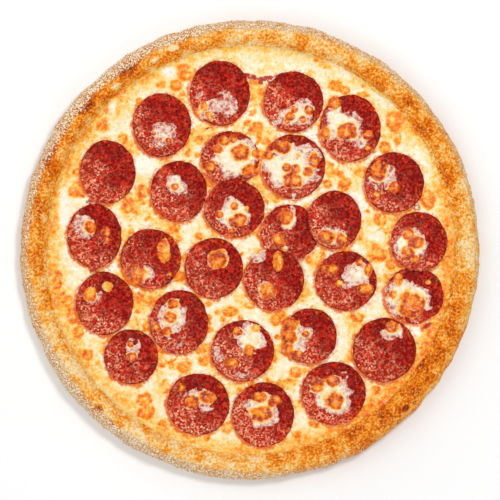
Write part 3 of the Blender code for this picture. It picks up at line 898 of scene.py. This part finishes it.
@dataclass
class RimForm:
    """The form of the dough that the solids have: its floor, the rim's inner slope and its relief."""

    floor: float = 8.0 * MM
    foot_radius: float = 125.5 * MM
    top_radius: float = 139.5 * MM
    top_height: float = 18.8 * MM
    widest_height: float = 8.5 * MM
    pizza_radius: float = 150.0 * MM
    base_radius: float = 143.0 * MM
    # Radii of further points of the section, on the floor and on the underside.
    floor_radii: Pair = (70.0 * MM, 122.5 * MM)
    under_radius: float = 120.0 * MM
    slope_steps: int = 22
    upper_steps: int = 24
    lower_steps: int = 12
    relief_start: float = 131.0 * MM
    relief_full: float = 136.0 * MM
    relief_low: float = 4.5 * MM
    swell: float = 1.3 * MM
    swell_length: float = 38.0 * MM
    bump: float = 1.0 * MM
    bump_length: float = 13.0 * MM
    bump_shift: tuple[float, float, float] = (3.0, 8.0, 1.0)
    # How brown the foot and the top of the rim are, for each 30 degrees from +X towards +Y.
    foot_browns: tuple[float, ...] = (0.62, 0.06, 0.03, 0.10, 0.20, 0.32, 0.40, 0.42, 0.36, 0.36, 0.54, 0.62)
    top_browns: tuple[float, ...] = (0.34, 0.56, 0.42, 0.34, 0.50, 0.52, 0.50, 0.27, 0.29, 0.34, 0.62, 0.63)
    # The radii over which each of them sets in, and how they wander.
    foot_over: Range = (120.0 * MM, 130.0 * MM)
    top_over: Range = (125.0 * MM, 137.0 * MM)
    wander: Layer = Layer(1.6 * MM, 9.0 * MM, 6)

    def toast(self, x: Array, y: Array) -> Array:
        """How brown the oven made the rim at each place, and the cheese that laps its foot."""
        radius, angle = np.hypot(x, y), np.arctan2(y, x)
        radius += layered_noise(flat_places(x, y), self.wander)
        foot, top = round_the_rim(angle, self.foot_browns), round_the_rim(angle, self.top_browns)
        return foot * smooth_step(*self.foot_over, radius) + (top - foot) * smooth_step(*self.top_over, radius)

    def slope_height(self, radius: Array) -> Array:
        """Height of the dough's upper face from its middle out to the top of the rim."""
        share = np.clip((radius - self.foot_radius) / (self.top_radius - self.foot_radius), 0.0, 1.0)
        return self.floor + (self.top_height - self.floor) * (1.0 - np.cos(math.pi * share)) / 2.0

    def section(self) -> list[Pair]:
        """The rim's section from the axis out along the floor, over the rim and back under the base."""
        points = [(radius, self.floor) for radius in (0.0, *self.floor_radii)]
        for radius in np.linspace(self.foot_radius, self.top_radius, self.slope_steps):
            points.append((float(radius), float(self.slope_height(radius))))
        quarter, height = math.pi / 2.0, self.widest_height
        for middle, up, turns in (
            (self.top_radius, self.top_height - height, np.linspace(quarter, 0.0, self.upper_steps)),
            (self.base_radius, height, np.linspace(0.0, -quarter, self.lower_steps)),
        ):
            out = self.pizza_radius - middle
            points += [(middle + out * math.cos(turn), height + up * math.sin(turn)) for turn in turns[1:]]
        return [*points, (self.under_radius, 0.0), (0.0, 0.0)]

    def lift(self, points: Array) -> Array:
        """How far the rim's relief stands out at each point, as on the solids."""
        strength = smooth_step(self.relief_start, self.relief_full, np.hypot(points[:, 0], points[:, 1]))
        strength *= smooth_step(0.0, self.relief_low, points[:, 2])
        shifted = points / self.bump_length + np.array(self.bump_shift)
        swell = self.swell * field_noise(points, self.swell_length)
        return strength * (swell + self.bump * field_noise(shifted, 1.0))


def round_the_rim(angles: Array, values: Sequence[float]) -> Array:
    """Values given at even steps round the rim, from +X towards +Y, read at any angle."""
    stops = np.linspace(0.0, math.tau, len(values) + 1)
    return np.interp(np.mod(angles, math.tau), stops, [*values, values[0]])


@dataclass
class Crust:
    """The baked dough: one turned solid with its relief, browned and dusted with semolina."""

    form: RimForm
    turns: int = 620
    joined_under: float = 0.01 * MM
    # The finer relief, and the radii and heights over which it sets in.
    relief: tuple[Layer, ...] = (Layer(0.55 * MM, 5.5 * MM, 4), Layer(0.35 * MM, 2.2 * MM, 5))
    relief_radii: Range = (131.5 * MM, 137.0 * MM)
    relief_heights: Range = (0.2 * MM, 3.0 * MM)
    # How the toast drifts, and how much paler the outer side is, over which radii.
    drift: Layer = Layer(0.12, 16.0 * MM, 7)
    outer_paleness: float = 0.16
    outer_over: Range = (140.0 * MM, 147.0 * MM)
    # The toast of the underside, and the height under which it begins.
    base_toast: float = 0.42
    base_drift: Layer = Layer(0.5, 12.0 * MM, 8)
    base_height: float = 1.5 * MM
    # How far in from its edge and how thickly the flour lies, for each 30 degrees from +X towards +Y.
    dust_width: tuple[float, ...] = (3.0, 4.0, 5.0, 6.5, 8.0, 8.0, 6.5, 7.5, 7.5, 6.0, 2.5, 2.0)
    dust: tuple[float, ...] = (0.35, 0.45, 0.6, 0.8, 1.0, 0.95, 0.65, 0.8, 0.9, 0.75, 0.3, 0.2)
    # How the flour sets in across its inner edge, and where it covers the lower side and the underside.
    dust_over: Range = (-1.5 * MM, 2.5 * MM)
    side_radius: float = 140.0 * MM
    base_dust: float = 0.55
    base_dust_height: float = 1.0 * MM
    # Pale blown bubbles on the rim, how far they rise and how pale they are, and where each begins and is full.
    bubbles: tuple[Patch, ...] = (
        Patch(-50, 131, 3.5, 1.6, 1.0, 15),
        Patch(-62, 123, 2.6, 1.6, 1.0, 25),
        Patch(-87, 106.5, 2.4, 1.6, 1.0, 40),
        Patch(125, 67, 2.5, 2.0, 0.8, 60),
        Patch(-134, 21, 2.0, 3.0, 0.8, 0),
    )
    bubble_rise: float = 0.7 * MM
    bubble_rises_over: Range = (1.2, 0.3)
    bubble_paleness: float = 0.45
    bubble_pales_over: Range = (1.3, 0.8)
    # Scorched places, where they set in, and how strongly the rim's wander breaks their edges.
    scorches: tuple[Patch, ...] = (
        Patch(101, -103, 3.5, 2.6, 1.0, 40),
        Patch(107, -99, 1.8, 1.4, 0.8, 40),
        Patch(-98, -103, 4.0, 3.0, 0.7, -40),
        Patch(-91, -112, 4.0, 2.4, 0.7, -40),
        Patch(-80, 118, 16.0, 6.0, 0.35, 35),
        Patch(-105, 95, 16.0, 6.0, 0.4, 45),
        Patch(-130, 60, 14.0, 5.0, 0.35, 65),
        Patch(103, 97, 8.0, 5.0, 0.25, -45),
        Patch(130, 45, 12.0, 5.0, 0.2, -70),
    )
    scorched_over: Range = (1.0, 0.2)
    scorch_break: float = 20.0

    def model(self) -> Shape:
        """The turned mesh with its relief."""
        model = bmesh.new()
        points = [model.verts.new((radius, 0.0, height)) for radius, height in self.form.section()]
        edges = [model.edges.new(pair) for pair in zip(points, points[1:])]
        bmesh.ops.spin(
            model,
            geom=points + edges,
            cent=(0, 0, 0),
            axis=(0, 0, 1),
            dvec=(0, 0, 0),
            angle=math.tau,
            steps=self.turns,
            use_merge=True,
            use_duplicate=False,
        )
        bmesh.ops.remove_doubles(model, verts=model.verts[:], dist=self.joined_under)
        bmesh.ops.recalc_face_normals(model, faces=model.faces[:])
        shape = Shape("dough_crust", model)
        places, normals = shape.points(), shape.normals()
        x, y, z = places.T
        baked = smooth_step(*self.relief_radii, np.hypot(x, y)) * smooth_step(*self.relief_heights, z)
        lift = self.form.lift(places) + baked * layered_noise(places, *self.relief)
        for bubble in self.bubbles:
            rise = self.bubble_rise * smooth_step(*self.bubble_rises_over, bubble.distance(x, y))
            lift += rise * (z > self.form.widest_height)
        shape.move(places + normals * lift[:, None])
        return shape

    def build(self, material: bpy.types.Material) -> Shape:
        """Shapes, paints and dresses the crust.

        Args:
            material: The crust's finish.

        Returns:
            The shape, on which the semolina is scattered.
        """
        shape = self.model()
        places = shape.points()
        x, y, z = places.T
        radius, angle = np.hypot(x, y), np.arctan2(y, x)
        wander = layered_noise(places, self.form.wander)
        toast = self.form.toast(x, y) + layered_noise(places, self.drift)
        toast -= self.outer_paleness * smooth_step(*self.outer_over, radius)
        toast = np.where(z < self.base_height, self.base_toast + layered_noise(places, self.base_drift), toast)
        for patch in self.scorches:
            distance = patch.distance(x, y) + self.scorch_break * wander
            toast += patch.strength * smooth_step(*self.scorched_over, distance)
        for bubble in self.bubbles:
            pale = smooth_step(*self.bubble_pales_over, bubble.distance(x, y))
            toast -= self.bubble_paleness * bubble.strength * pale
        edge = self.form.pizza_radius - round_the_rim(angle, self.dust_width) * MM + wander
        thickness = round_the_rim(angle, self.dust)
        dust = smooth_step(*self.dust_over, radius - edge) * thickness
        dust = np.where((z < self.form.widest_height) & (radius > self.side_radius), thickness, dust)
        dust = np.where(z < self.base_dust_height, self.base_dust, dust)
        shape.paint("toast", np.clip(toast, 0.0, 1.0))
        shape.paint("flour", np.clip(dust, 0.0, 1.0))
        shape.dress(material, "crust", ["crust"])
        return shape


@dataclass
class Semolina:
    """Coarse grains of semolina that stuck to the outer side of the crust, as one joined mesh."""

    grains: int = 5200
    size: Range = (0.2 * MM, 0.42 * MM)
    stretch: Range = (0.7, 1.25)
    scatter: float = 0.3 * MM
    stand_off: float = 0.08 * MM
    lowest: float = 1.5 * MM
    seed: int = 11

    def build(self, crust: Shape, material: bpy.types.Material) -> None:
        """Scatters the grains where the crust's flour is thick.

        Args:
            crust: The crust's shape, painted with flour.
            material: The grains' finish.
        """
        draw = np.random.default_rng(self.seed)
        places, normals = crust.points(), crust.normals()
        flour = np.empty(len(places), np.float32)
        crust.mesh.attributes["flour"].data.foreach_get("value", flour)
        weight = flour.astype(float) ** 2 * (places[:, 2] > self.lowest)
        chosen = draw.choice(len(places), self.grains, p=weight / weight.sum())
        grain = bmesh.new()
        bmesh.ops.create_icosphere(grain, subdivisions=1, radius=1.0)
        grain_mesh = bpy.data.meshes.new("grain")
        grain.to_mesh(grain_mesh)
        grain.free()
        model = bmesh.new()
        for _ in chosen:
            model.from_mesh(grain_mesh)
        corners = len(grain_mesh.vertices)
        bpy.data.meshes.remove(grain_mesh)
        shape = Shape("semolina_grains", model)
        size = draw.uniform(*self.size, (len(chosen), 1, 1))
        stretch = draw.uniform(*self.stretch, (len(chosen), 1, 3))
        jitter = draw.uniform(-self.scatter, self.scatter, (len(chosen), 1, 3))
        middle = (places + normals * self.stand_off)[chosen][:, None, :] + jitter
        balls = shape.points().reshape(len(chosen), corners, 3)
        shape.move((balls * size * stretch + middle).reshape(-1, 3))
        shape.paint("tone", np.repeat(draw.uniform(0.0, 1.0, len(chosen)) ** 2, corners))
        shape.dress(material, "crust", [])


@dataclass
class CheeseMap:
    """What the melted cheese does at each place: how it rises, browns, thins over slices and is stained."""

    seats: dict[int, SliceSeat]
    form: RimForm
    # The thickness in millimetres that stands for open cheese, and the one over which a place counts as open.
    open_film: float = 9.0
    open_over: float = 5.0
    # The noise in the outlines of bubbles, and the smoother one in those of films.
    ragged_noise: tuple[Layer, ...] = (Layer(0.34, 5.0 * MM, 11), Layer(0.14, 2.0 * MM, 12))
    flowing_noise: tuple[Layer, ...] = (Layer(0.5, 10.0 * MM, 22), Layer(0.2, 3.4 * MM, 23))
    # A film: the distance that it is worked out to, the power of its rounding, and its fall beyond its edge.
    film_reach: float = 1.8
    film_power: float = 1.7
    film_fall: float = 0.9
    hole_noise: Layer = Layer(1.0, 5.0 * MM, 13)
    holes_over: Range = (0.22, 0.5)
    hole_depth: float = 0.25
    hole_film: float = 0.5
    # A bubble on a slice: its edges' raggedness, where its dome ends, its dimple, and its height from its width.
    blister_reach: float = 2.2
    dome_break: float = 0.6
    dome_end: float = 1.15
    dimple: float = 0.3
    dimple_over: Range = (0.5, 0.0)
    dome_height: Line = (0.13, 0.45)
    # How brown bubbles are on slices and on the open cheese: their disc, the paler core in it, set towards one side
    # as a painted highlight with painted shade on the far side, and the glow round it.
    slice_heat: float = 1.2
    open_heat: float = 0.74
    brown_break: float = 0.8
    disc: float = 0.42
    disc_over: Range = (1.2, 0.8)
    core: float = 0.21
    core_over: Range = (0.85, 0.15)
    core_break: float = 0.5
    core_offset: float = 0.34
    core_turns: Line = (4.0, 0.8)
    core_length: float = 9.0
    glow: float = 0.28
    glow_over: Range = (1.7, 0.95)
    # The lumps of the open cheese, and how far its bubbles rise for their width.
    lumps: tuple[Layer, ...] = (
        Layer(0.55 * MM, 21.0 * MM),
        Layer(0.32 * MM, 7.0 * MM, 14),
        Layer(0.12 * MM, 2.4 * MM, 15),
    )
    swell_reach: float = 2.0
    swell_break: float = 0.5
    swell_height: float = 0.2 * MM
    swell_over: Range = (1.2, 0.3)
    stain_break: float = 0.6
    stain_over: Range = (1.5, 0.5)
    # The oil round a slice, which is also painted shadow cast by the slice: a ragged ring and a line at its edge, in
    # millimetres, and its strength to the lower left, away from the light.
    ring_over: Range = (3.4, 0.2)
    ring_break: float = 3.8
    line: float = 0.95
    line_over: Range = (1.3, 0.4)
    line_break: float = 1.6
    oil_from: float = 0.9
    oil_sides: Line = (0.45, 0.55)
    least_oil: float = 0.38
    # Gold on the open cheese: what the rim's toast gives, soft clouds and small bits, all less near the rim.
    pale_over: Range = (1.3, 0.4)
    gold: Line = (0.68, 0.1)
    most_gold: float = 0.54
    inner_loss: float = 0.6
    inner_over: Range = (106.0 * MM, 117.0 * MM)
    cloud: float = 0.26
    cloud_noise: Layer = Layer(1.0, 12.0 * MM, 16)
    cloud_over: Range = (-0.25, 0.45)
    bits: float = 0.54
    bit_noise: tuple[Layer, ...] = (Layer(1.0, 4.6 * MM, 18), Layer(0.5, 2.0 * MM, 19))
    bits_over: Range = (0.12, 0.5)
    bit_cloud: Layer = Layer(1.0, 17.0 * MM, 21)
    bit_cloud_over: Range = (-0.15, 0.35)
    # The least browning on slices, and the film and browning over which their cheese looks thin.
    slice_gold: float = 0.08
    thin_film: Range = (0.75, -0.05)
    thin_brown: Range = (0.5, 0.12)
    films: list[Patch] = field(init=False)

    def __post_init__(self) -> None:
        """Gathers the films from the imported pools."""
        self.films = list(SIDE_FILMS)
        for kind, numbers in FILMS.items():
            for number in numbers:
                low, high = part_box(f"melted_cheese_{number:02d}")
                middle, half = (low + high) / (2.0 * MM), (high - low) / (2.0 * MM)
                self.films.append(Patch(middle.x, middle.y, half.x, half.y, kind.value))

    def ragged(self, x: Array, y: Array) -> Array:
        """Noise that makes the outlines of bubbles uneven."""
        return layered_noise(flat_places(x, y), *self.ragged_noise)

    def film(self, x: Array, y: Array) -> Array:
        """Thickness in millimetres of the cheese on a slice, negative where there is none."""
        ragged, places = self.ragged(x, y), flat_places(x, y)
        flowing = layered_noise(places, *self.flowing_noise)
        thickness = np.full(len(x), -1.0)
        for patch in self.films:
            near, distance = patch.near(x, y, self.film_reach, flowing)
            inside = patch.strength * (1.0 - np.clip(distance, 0.0, 1.0) ** self.film_power)
            film = np.where(distance < 1.0, inside, self.film_fall * (1.0 - distance))
            thickness[near] = np.maximum(thickness[near], film)
        factor, offset = self.dome_height
        for blister in SLICE_BLISTERS:
            near, distance = blister.patch().near(x, y, self.blister_reach, self.dome_break * ragged)
            dome = 1.0 - np.clip(distance, 0.0, self.dome_end) ** 2
            dome -= self.dimple * smooth_step(*self.dimple_over, distance)
            thickness[near] = np.maximum(thickness[near], dome * (offset + factor * blister.wide))
        holes = smooth_step(*self.holes_over, layered_noise(places, self.hole_noise))
        return thickness - self.hole_depth * holes * (thickness < self.hole_film)

    def browning(self, x: Array, y: Array) -> Array:
        """How brown the cheese is, from nought to about one, with a paler core off the middle of a bubble: painted
        highlight on one side of the bubble and painted shade, browner, on the other.
        """
        ragged = self.ragged(x, y)
        brown = np.zeros(len(x))
        factor, offset = self.core_turns
        for blisters, heat in ((SLICE_BLISTERS, self.slice_heat), (OPEN_BLISTERS, self.open_heat)):
            for blister in blisters:
                patch = blister.patch()
                near, distance = patch.near(x, y, self.blister_reach, self.brown_break * ragged)
                # The paler core is moved towards one side, mostly the upper right, as painted light and shade on the
                # bubble.
                turn = offset + factor * noise.noise((patch.x / self.core_length, patch.y / self.core_length, 0.5))
                core_x = patch.x + self.core_offset * patch.wide * math.cos(turn)
                core_y = patch.y + self.core_offset * patch.tall * math.sin(turn)
                core = patch._replace(x=core_x, y=core_y).distance(x[near], y[near]) + self.core_break * ragged[near]
                level = self.disc * smooth_step(*self.disc_over, distance)
                level -= self.core * smooth_step(*self.core_over, core)
                level = heat * level + self.glow * smooth_step(*self.glow_over, distance)
                brown[near] = np.maximum(brown[near], blister.toast * level)
        return brown

    def swell(self, x: Array, y: Array) -> Array:
        """How far bubbles and lumps raise the open cheese, in metres."""
        rise = layered_noise(flat_places(x, y), *self.lumps)
        wave = self.swell_break * self.ragged(x, y)
        for blister in OPEN_BLISTERS:
            near, distance = blister.patch().near(x, y, self.swell_reach, wave)
            rise[near] += self.swell_height * blister.wide * smooth_step(*self.swell_over, distance)
        return rise

    def stain(self, x: Array, y: Array) -> Array:
        """How red the cheese is with sauce, from nought to one."""
        wave = self.stain_break * self.ragged(x, y)
        red = np.zeros(len(x))
        for patch in SAUCE_STAINS:
            red = np.maximum(red, patch.strength * smooth_step(*self.stain_over, patch.distance(x, y) + wave))
        return red

    def halo(self, x: Array, y: Array) -> Array:
        """How much orange oil lies just outside the slices' edges, most at their lower left, away from the light,
        where it is also painted shadow cast by the slices.
        """
        oily = np.zeros(len(x))
        ragged = self.ragged(x, y)
        factor, offset = self.oil_sides
        for seat in self.seats.values():
            share = seat.share(x, y)
            gap = seat.gap(share) / MM
            ring = smooth_step(*self.ring_over, gap + self.ring_break * ragged)
            line = self.line * smooth_step(*self.line_over, gap + self.line_break * ragged)
            strength = np.clip(offset + factor * seat.lower_left(x, y), self.least_oil, 1.0)
            oily = np.maximum(oily, np.maximum(ring, line) * (share > self.oil_from) * strength)
        return oily

    def golden(self, x: Array, y: Array) -> Array:
        """How golden the open cheese is away from its bubbles."""
        places = flat_places(x, y)
        pale = np.zeros(len(x))
        for patch in PALE_CHEESE:
            pale = np.maximum(pale, patch.strength * smooth_step(*self.pale_over, patch.distance(x, y)))
        inner = 1.0 - self.inner_loss * smooth_step(*self.inner_over, np.hypot(x, y))
        factor, offset = self.gold
        golden = offset + factor * self.form.toast(x, y)
        golden += self.cloud * inner * smooth_step(*self.cloud_over, layered_noise(places, self.cloud_noise))
        bits = smooth_step(*self.bits_over, layered_noise(places, *self.bit_noise))
        bits *= smooth_step(*self.bit_cloud_over, layered_noise(places, self.bit_cloud))
        return np.minimum(golden + self.bits * inner * bits, self.most_gold) * (1.0 - pale)

    def paint(self, shape: Shape, on_slice: Array) -> None:
        """Paints the values that the cheese's finish reads.

        Args:
            shape: The shape to paint.
            on_slice: The film's thickness in millimetres where a point lies on a slice, else a large value.
        """
        x, y, _ = shape.points().T
        open_cheese = on_slice > self.open_over
        browning = np.maximum(self.browning(x, y), np.where(open_cheese, self.golden(x, y), self.slice_gold))
        shape.paint("browning", browning)
        thin = smooth_step(*self.thin_film, on_slice) * smooth_step(*self.thin_brown, browning)
        shape.paint("thinness", np.where(open_cheese, 0.0, thin))
        shape.paint("stain", self.stain(x, y))
        shape.paint("halo", np.where(open_cheese, self.halo(x, y), 0.0))


@dataclass
class MeltedCheese:
    """The sheet of cheese: level between the slices, sunk under them and lapping the foot of the rim."""

    form: RimForm
    chart: CheeseMap
    cells: int = 296
    level: float = 12.3 * MM
    reach: float = 135.6 * MM
    # The closed underside: its rings as shares of the radius, and how it clears the dough.
    rings: tuple[Pair, ...] = ((0.985, -1.0), (0.93, -1.0))
    floor_radius: float = 127.0 * MM
    floor_gap: float = 0.3 * MM
    slope_sink: float = 0.4 * MM
    least_depth: float = 1.0 * MM
    # Where the sheet climbs the rim: the cheese on the slope, its edge, and how softly the two meet.
    cover: float = 1.3 * MM
    cover_over: Range = (134.0 * MM, 127.0 * MM)
    cover_sink: float = 0.5 * MM
    fillet: float = 1.6 * MM
    climbs_over: Range = (108.0 * MM, 123.0 * MM)
    wander: Layer = Layer(1.7 * MM, 8.0 * MM, 17)
    # At a slice: the share its sheet reaches out to, how far in it laps and sinks, and how it climbs the edge.
    lap_from: float = 0.76
    lap_over: Range = (1.12, 0.99)
    sunk_from: float = 0.965
    sink: float = 0.15 * MM
    climb: float = 0.7
    meniscus: float = 2.2 * MM

    def build(self, material: bpy.types.Material) -> None:
        """Shapes, paints and dresses the cheese."""
        model = round_sheet(self.cells)
        close_below(model, self.rings)
        shape = Shape("melted_cheese_sheet", model)
        places = shape.points()
        lower = places[:, 2] < UNDERSIDE
        x, y = (places[:, :2] * self.reach).T
        radius = np.hypot(x, y)
        height = self.level + self.chart.swell(x, y)
        wander = layered_noise(flat_places(x, y), self.wander)
        slope = self.form.slope_height(radius)
        steepness = (self.form.slope_height(radius + self.cover) - slope) / self.cover
        slope += self.form.lift(np.column_stack((x, y, slope))) * np.hypot(1.0, steepness)
        climbing = slope + self.cover * smooth_step(*self.cover_over, radius + wander) - self.cover_sink
        softened = (height + climbing + np.hypot(height - climbing, self.fillet)) / 2.0
        height += smooth_step(*self.climbs_over, radius) * (softened - height)
        film = self.chart.film(x, y)
        on_slice = np.full(len(x), self.chart.open_film)
        seats = sorted(self.chart.seats.values(), key=lambda item: item.underside)
        shares = {seat.number: seat.share(x, y) for seat in seats}
        covered = np.min(list(shares.values()), axis=0) < self.sunk_from
        for seat in seats:
            share = shares[seat.number]
            near = share < self.lap_over[0]
            rim = seat.plane(x, y) + seat.thickness * self.climb
            close = smooth_step(self.meniscus, 0.0, seat.gap(share))
            height = np.where(near & ~covered, height + close * (np.maximum(height, rim) - height), height)
            sunk = np.minimum(height, seat.plane(x, y) - self.sink)
            height = np.where(near & (share < self.sunk_from), sunk, height)
            draped = near & (film > 0.0) & (share > self.lap_from)
            over = seat.top(x, y) + film * MM
            weight = smooth_step(*self.lap_over, share)
            height = np.where(draped, np.maximum(height, height + weight * (over - height)), height)
            on_slice = np.where(draped & (share < 1.0), film, on_slice)
        floor = np.where(radius > self.floor_radius, slope - self.slope_sink, self.form.floor + self.floor_gap)
        height = np.where(lower, floor, np.maximum(height, self.form.floor + self.least_depth))
        shape.move(np.column_stack((x, y, height)))
        self.chart.paint(shape, on_slice)
        shape.dress(material, "cheese", ["cheese"])


@dataclass
class Pepperoni:
    """One slice of pepperoni: a thin, hollow, uneven disc with a rounded lip."""

    seat: SliceSeat
    cells: int = 64
    rings: tuple[Pair, ...] = ((1.0, -0.4), (0.985, -0.7), (0.95, -1.0))
    # The shares over which the lip rounds off, and how far down, as a share of the thickness.
    lip_over: Range = (0.94, 1.03)
    lip_drop: float = 0.22
    side_share: float = 1.05
    # How strong each slice's painted sheen is, and how the painted sheen sets in towards the light.
    gloss: Line = (0.5, 0.8)
    gloss_step: float = 0.7
    sheen_over: Range = (-0.35, 0.75)
    sheen_break: float = 0.5
    sheen_length: float = 9.0 * MM
    sheen_seed: int = 20

    def build(self, material: bpy.types.Material) -> None:
        """Shapes, paints and dresses the slice."""
        seat = self.seat
        model = round_sheet(self.cells)
        close_below(model, self.rings)
        shape = Shape(f"pepperoni_slice_{seat.number:02d}", model)
        across, along, drop = shape.points().T
        below = drop < UNDERSIDE
        share = np.hypot(across, along)
        angle = np.arctan2(along * seat.half[1], across * seat.half[0])
        bend = np.interp(angle, seat.turns, seat.outline)
        x = seat.middle[0] + across * seat.half[0] * bend
        y = seat.middle[1] + along * seat.half[1] * bend
        height = seat.top(x, y) - self.lip_drop * seat.thickness * smooth_step(*self.lip_over, share)
        plane = seat.plane(x, y)
        shape.move(np.column_stack((x, y, np.where(below, plane + (height - plane) * (1.0 + drop), height))))
        # The painted sheen: strongest towards the lower left, which faces the light, with its own strength on each
        # slice.
        wander = Layer(self.sheen_break, self.sheen_length, self.sheen_seed + seat.number)
        facing = seat.lower_left(x, y) + layered_noise(flat_places(x, y), wander)
        factor, offset = self.gloss
        gloss = offset + factor * noise.noise((self.gloss_step * seat.number, 0.3, 0.9))
        shape.paint("sheen", gloss * smooth_step(*self.sheen_over, facing))
        # The sides take the dark edge colour, charred and painted shade.
        shape.paint("share", np.where(below, self.side_share, share))
        shape.dress(material, "pepperoni", [f"pepperoni_{seat.number:02d}"])


@dataclass
class CheesePool:
    """The melted cheese that lies on one slice, cut to where it is thicker than nothing."""

    seat: SliceSeat
    chart: CheeseMap
    cells: int = 66
    depth: float = 0.3 * MM
    least_film: float = -0.06
    most_film: float = 4.0
    largest_share: float = 0.965
    least_faces: int = 14

    def build(self, material: bpy.types.Material) -> None:
        """Shapes, paints and dresses the pool."""
        seat = self.seat
        model = bmesh.new()
        bmesh.ops.create_grid(model, x_segments=self.cells, y_segments=self.cells, size=1.0)
        flat = np.array([vertex.co[:2] for vertex in model.verts])
        x, y = (seat.middle + flat * seat.half).T
        film = self.chart.film(x, y)
        outside = (film < self.least_film) | (seat.share(x, y) > self.largest_share)
        bare = [vertex for vertex, out in zip(model.verts, outside) if out]
        for vertex, *place in zip(model.verts, x, y, seat.top(x, y) + film * MM):
            vertex.co = place
        bmesh.ops.delete(model, geom=bare, context="VERTS")
        self.drop_scraps(model)
        made = bmesh.ops.extrude_face_region(model, geom=model.faces[:])["geom"]
        lower = [item for item in made if isinstance(item, bmesh.types.BMVert)]
        bmesh.ops.translate(model, vec=(0.0, 0.0, -self.depth), verts=lower)
        bmesh.ops.recalc_face_normals(model, faces=model.faces[:])
        shape = Shape(f"cheese_pool_{seat.number:02d}", model)
        x, y, _ = shape.points().T
        self.chart.paint(shape, np.minimum(self.chart.film(x, y), self.most_film))
        shape.dress(material, "melted_cheese", [f"melted_cheese_{seat.number:02d}"])

    def drop_scraps(self, model: bmesh.types.BMesh) -> None:
        """Deletes loose corners and islands of only a few faces."""
        loose = [vertex for vertex in model.verts if not vertex.link_faces]
        bmesh.ops.delete(model, geom=loose, context="VERTS")
        waiting = set(model.faces)
        while waiting:
            island, edge_faces = set(), [waiting.pop()]
            while edge_faces:
                face = edge_faces.pop()
                island.add(face)
                for edge in face.edges:
                    fresh = [other for other in edge.link_faces if other in waiting]
                    waiting.difference_update(fresh)
                    edge_faces.extend(fresh)
            if len(island) < self.least_faces:
                bmesh.ops.delete(model, geom=list(island), context="FACES")


@dataclass
class Studio:
    """A plain pale floor, soft light and a camera straight above the pizza."""

    view_width: float = 326.6 * MM
    camera_height: float = 1.6
    rim_height: float = 9.0 * MM
    sensor: float = 36.0
    key_energy: float = 6.2
    key_size: float = 0.26
    key_place: tuple[float, float, float] = (0.36, 0.38, 1.2)
    fill_energy: float = 4.3
    fill_size: float = 1.2
    fill_places: tuple[tuple[float, float, float], ...] = ((-0.95, -0.1, 0.85), (0.2, -1.0, 0.8), (-0.3, 0.95, 0.85))
    sky: float = 0.34
    sky_colour: Colour = (1.0, 1.0, 1.0, 1.0)
    floor_size: float = 3.0
    floor_shades: tuple[tuple[float, Colour], ...] = ((0.0, srgb(250, 250, 250)), (1.0, srgb(253, 253, 253)))
    floor_cloud: Mottle = Mottle(90.0 * MM, 0.2, 0.8, 30)
    floor_roughness: float = 0.9

    def soft_light(self, name: str, place: Sequence[float], size: float, energy: float) -> None:
        """A square light that faces the pizza."""
        light = bpy.data.lights.new(name, "AREA")
        light.size = size
        light.energy = energy
        lamp = bpy.data.objects.new(name, light)
        lamp.location = place
        lamp.rotation_euler = (-Vector(place)).to_track_quat("-Z", "Y").to_euler()
        bpy.context.scene.collection.objects.link(lamp)

    def lay_floor(self) -> None:
        """A wide flat floor under the pizza."""
        model = bmesh.new()
        bmesh.ops.create_grid(model, x_segments=2, y_segments=2, size=self.floor_size / 2.0)
        mesh = bpy.data.meshes.new("studio_floor")
        model.to_mesh(mesh)
        model.free()
        material, recipe, shader = new_material("studio_floor")
        tone = recipe.colours(recipe.draw(self.floor_cloud), self.floor_shades)
        recipe.feed(shader.inputs["Base Color"], tone)
        shader.inputs["Roughness"].default_value = self.floor_roughness
        mesh.materials.append(material)
        floor = bpy.data.objects.new("studio_floor", mesh)
        bpy.context.scene.collection.objects.link(floor)

    def build(self) -> None:
        """Sets up the camera, the lights, the floor and the surroundings."""
        scene = bpy.context.scene
        lens = bpy.data.cameras.new("top_camera")
        lens.sensor_width = self.sensor
        lens.lens = self.sensor * (self.camera_height - self.rim_height) / self.view_width
        camera = bpy.data.objects.new("top_camera", lens)
        camera.location = (0.0, 0.0, self.camera_height)
        scene.collection.objects.link(camera)
        scene.camera = camera
        self.soft_light("window_light", self.key_place, self.key_size, self.key_energy)
        for place in self.fill_places:
            self.soft_light("fill_light", place, self.fill_size, self.fill_energy)
        self.lay_floor()
        world = bpy.data.worlds.new("studio")
        world.use_nodes = True
        background = world.node_tree.nodes["Background"].inputs
        background["Color"].default_value = self.sky_colour
        background["Strength"].default_value = self.sky
        scene.world = world
        scene.view_settings.view_transform = "Standard"


def main() -> None:
    """Builds the pieces in order."""
    logging.basicConfig(level=logging.INFO, format="%(message)s")
    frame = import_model()
    nodes = frame["nodes"]
    numbers = sorted(int(name[-2:]) for name in nodes if name.startswith("pepperoni_"))
    seats = {number: SliceSeat.of_node(number, nodes[f"pepperoni_{number:02d}"]) for number in numbers}
    form = RimForm()
    chart = CheeseMap(seats, form)

    crust = Crust(form).build(CrustFinish().build())
    Semolina().build(crust, SemolinaFinish().build())
    cheese_material = CheeseFinish().build()
    MeltedCheese(form, chart).build(cheese_material)
    pepperoni_material = PepperoniFinish().build()
    for seat in seats.values():
        Pepperoni(seat).build(pepperoni_material)
    for number in sorted(number for group in FILMS.values() for number in group):
        CheesePool(seats[number], chart).build(cheese_material)
    Studio().build()


if __name__ == "__main__":
    main()
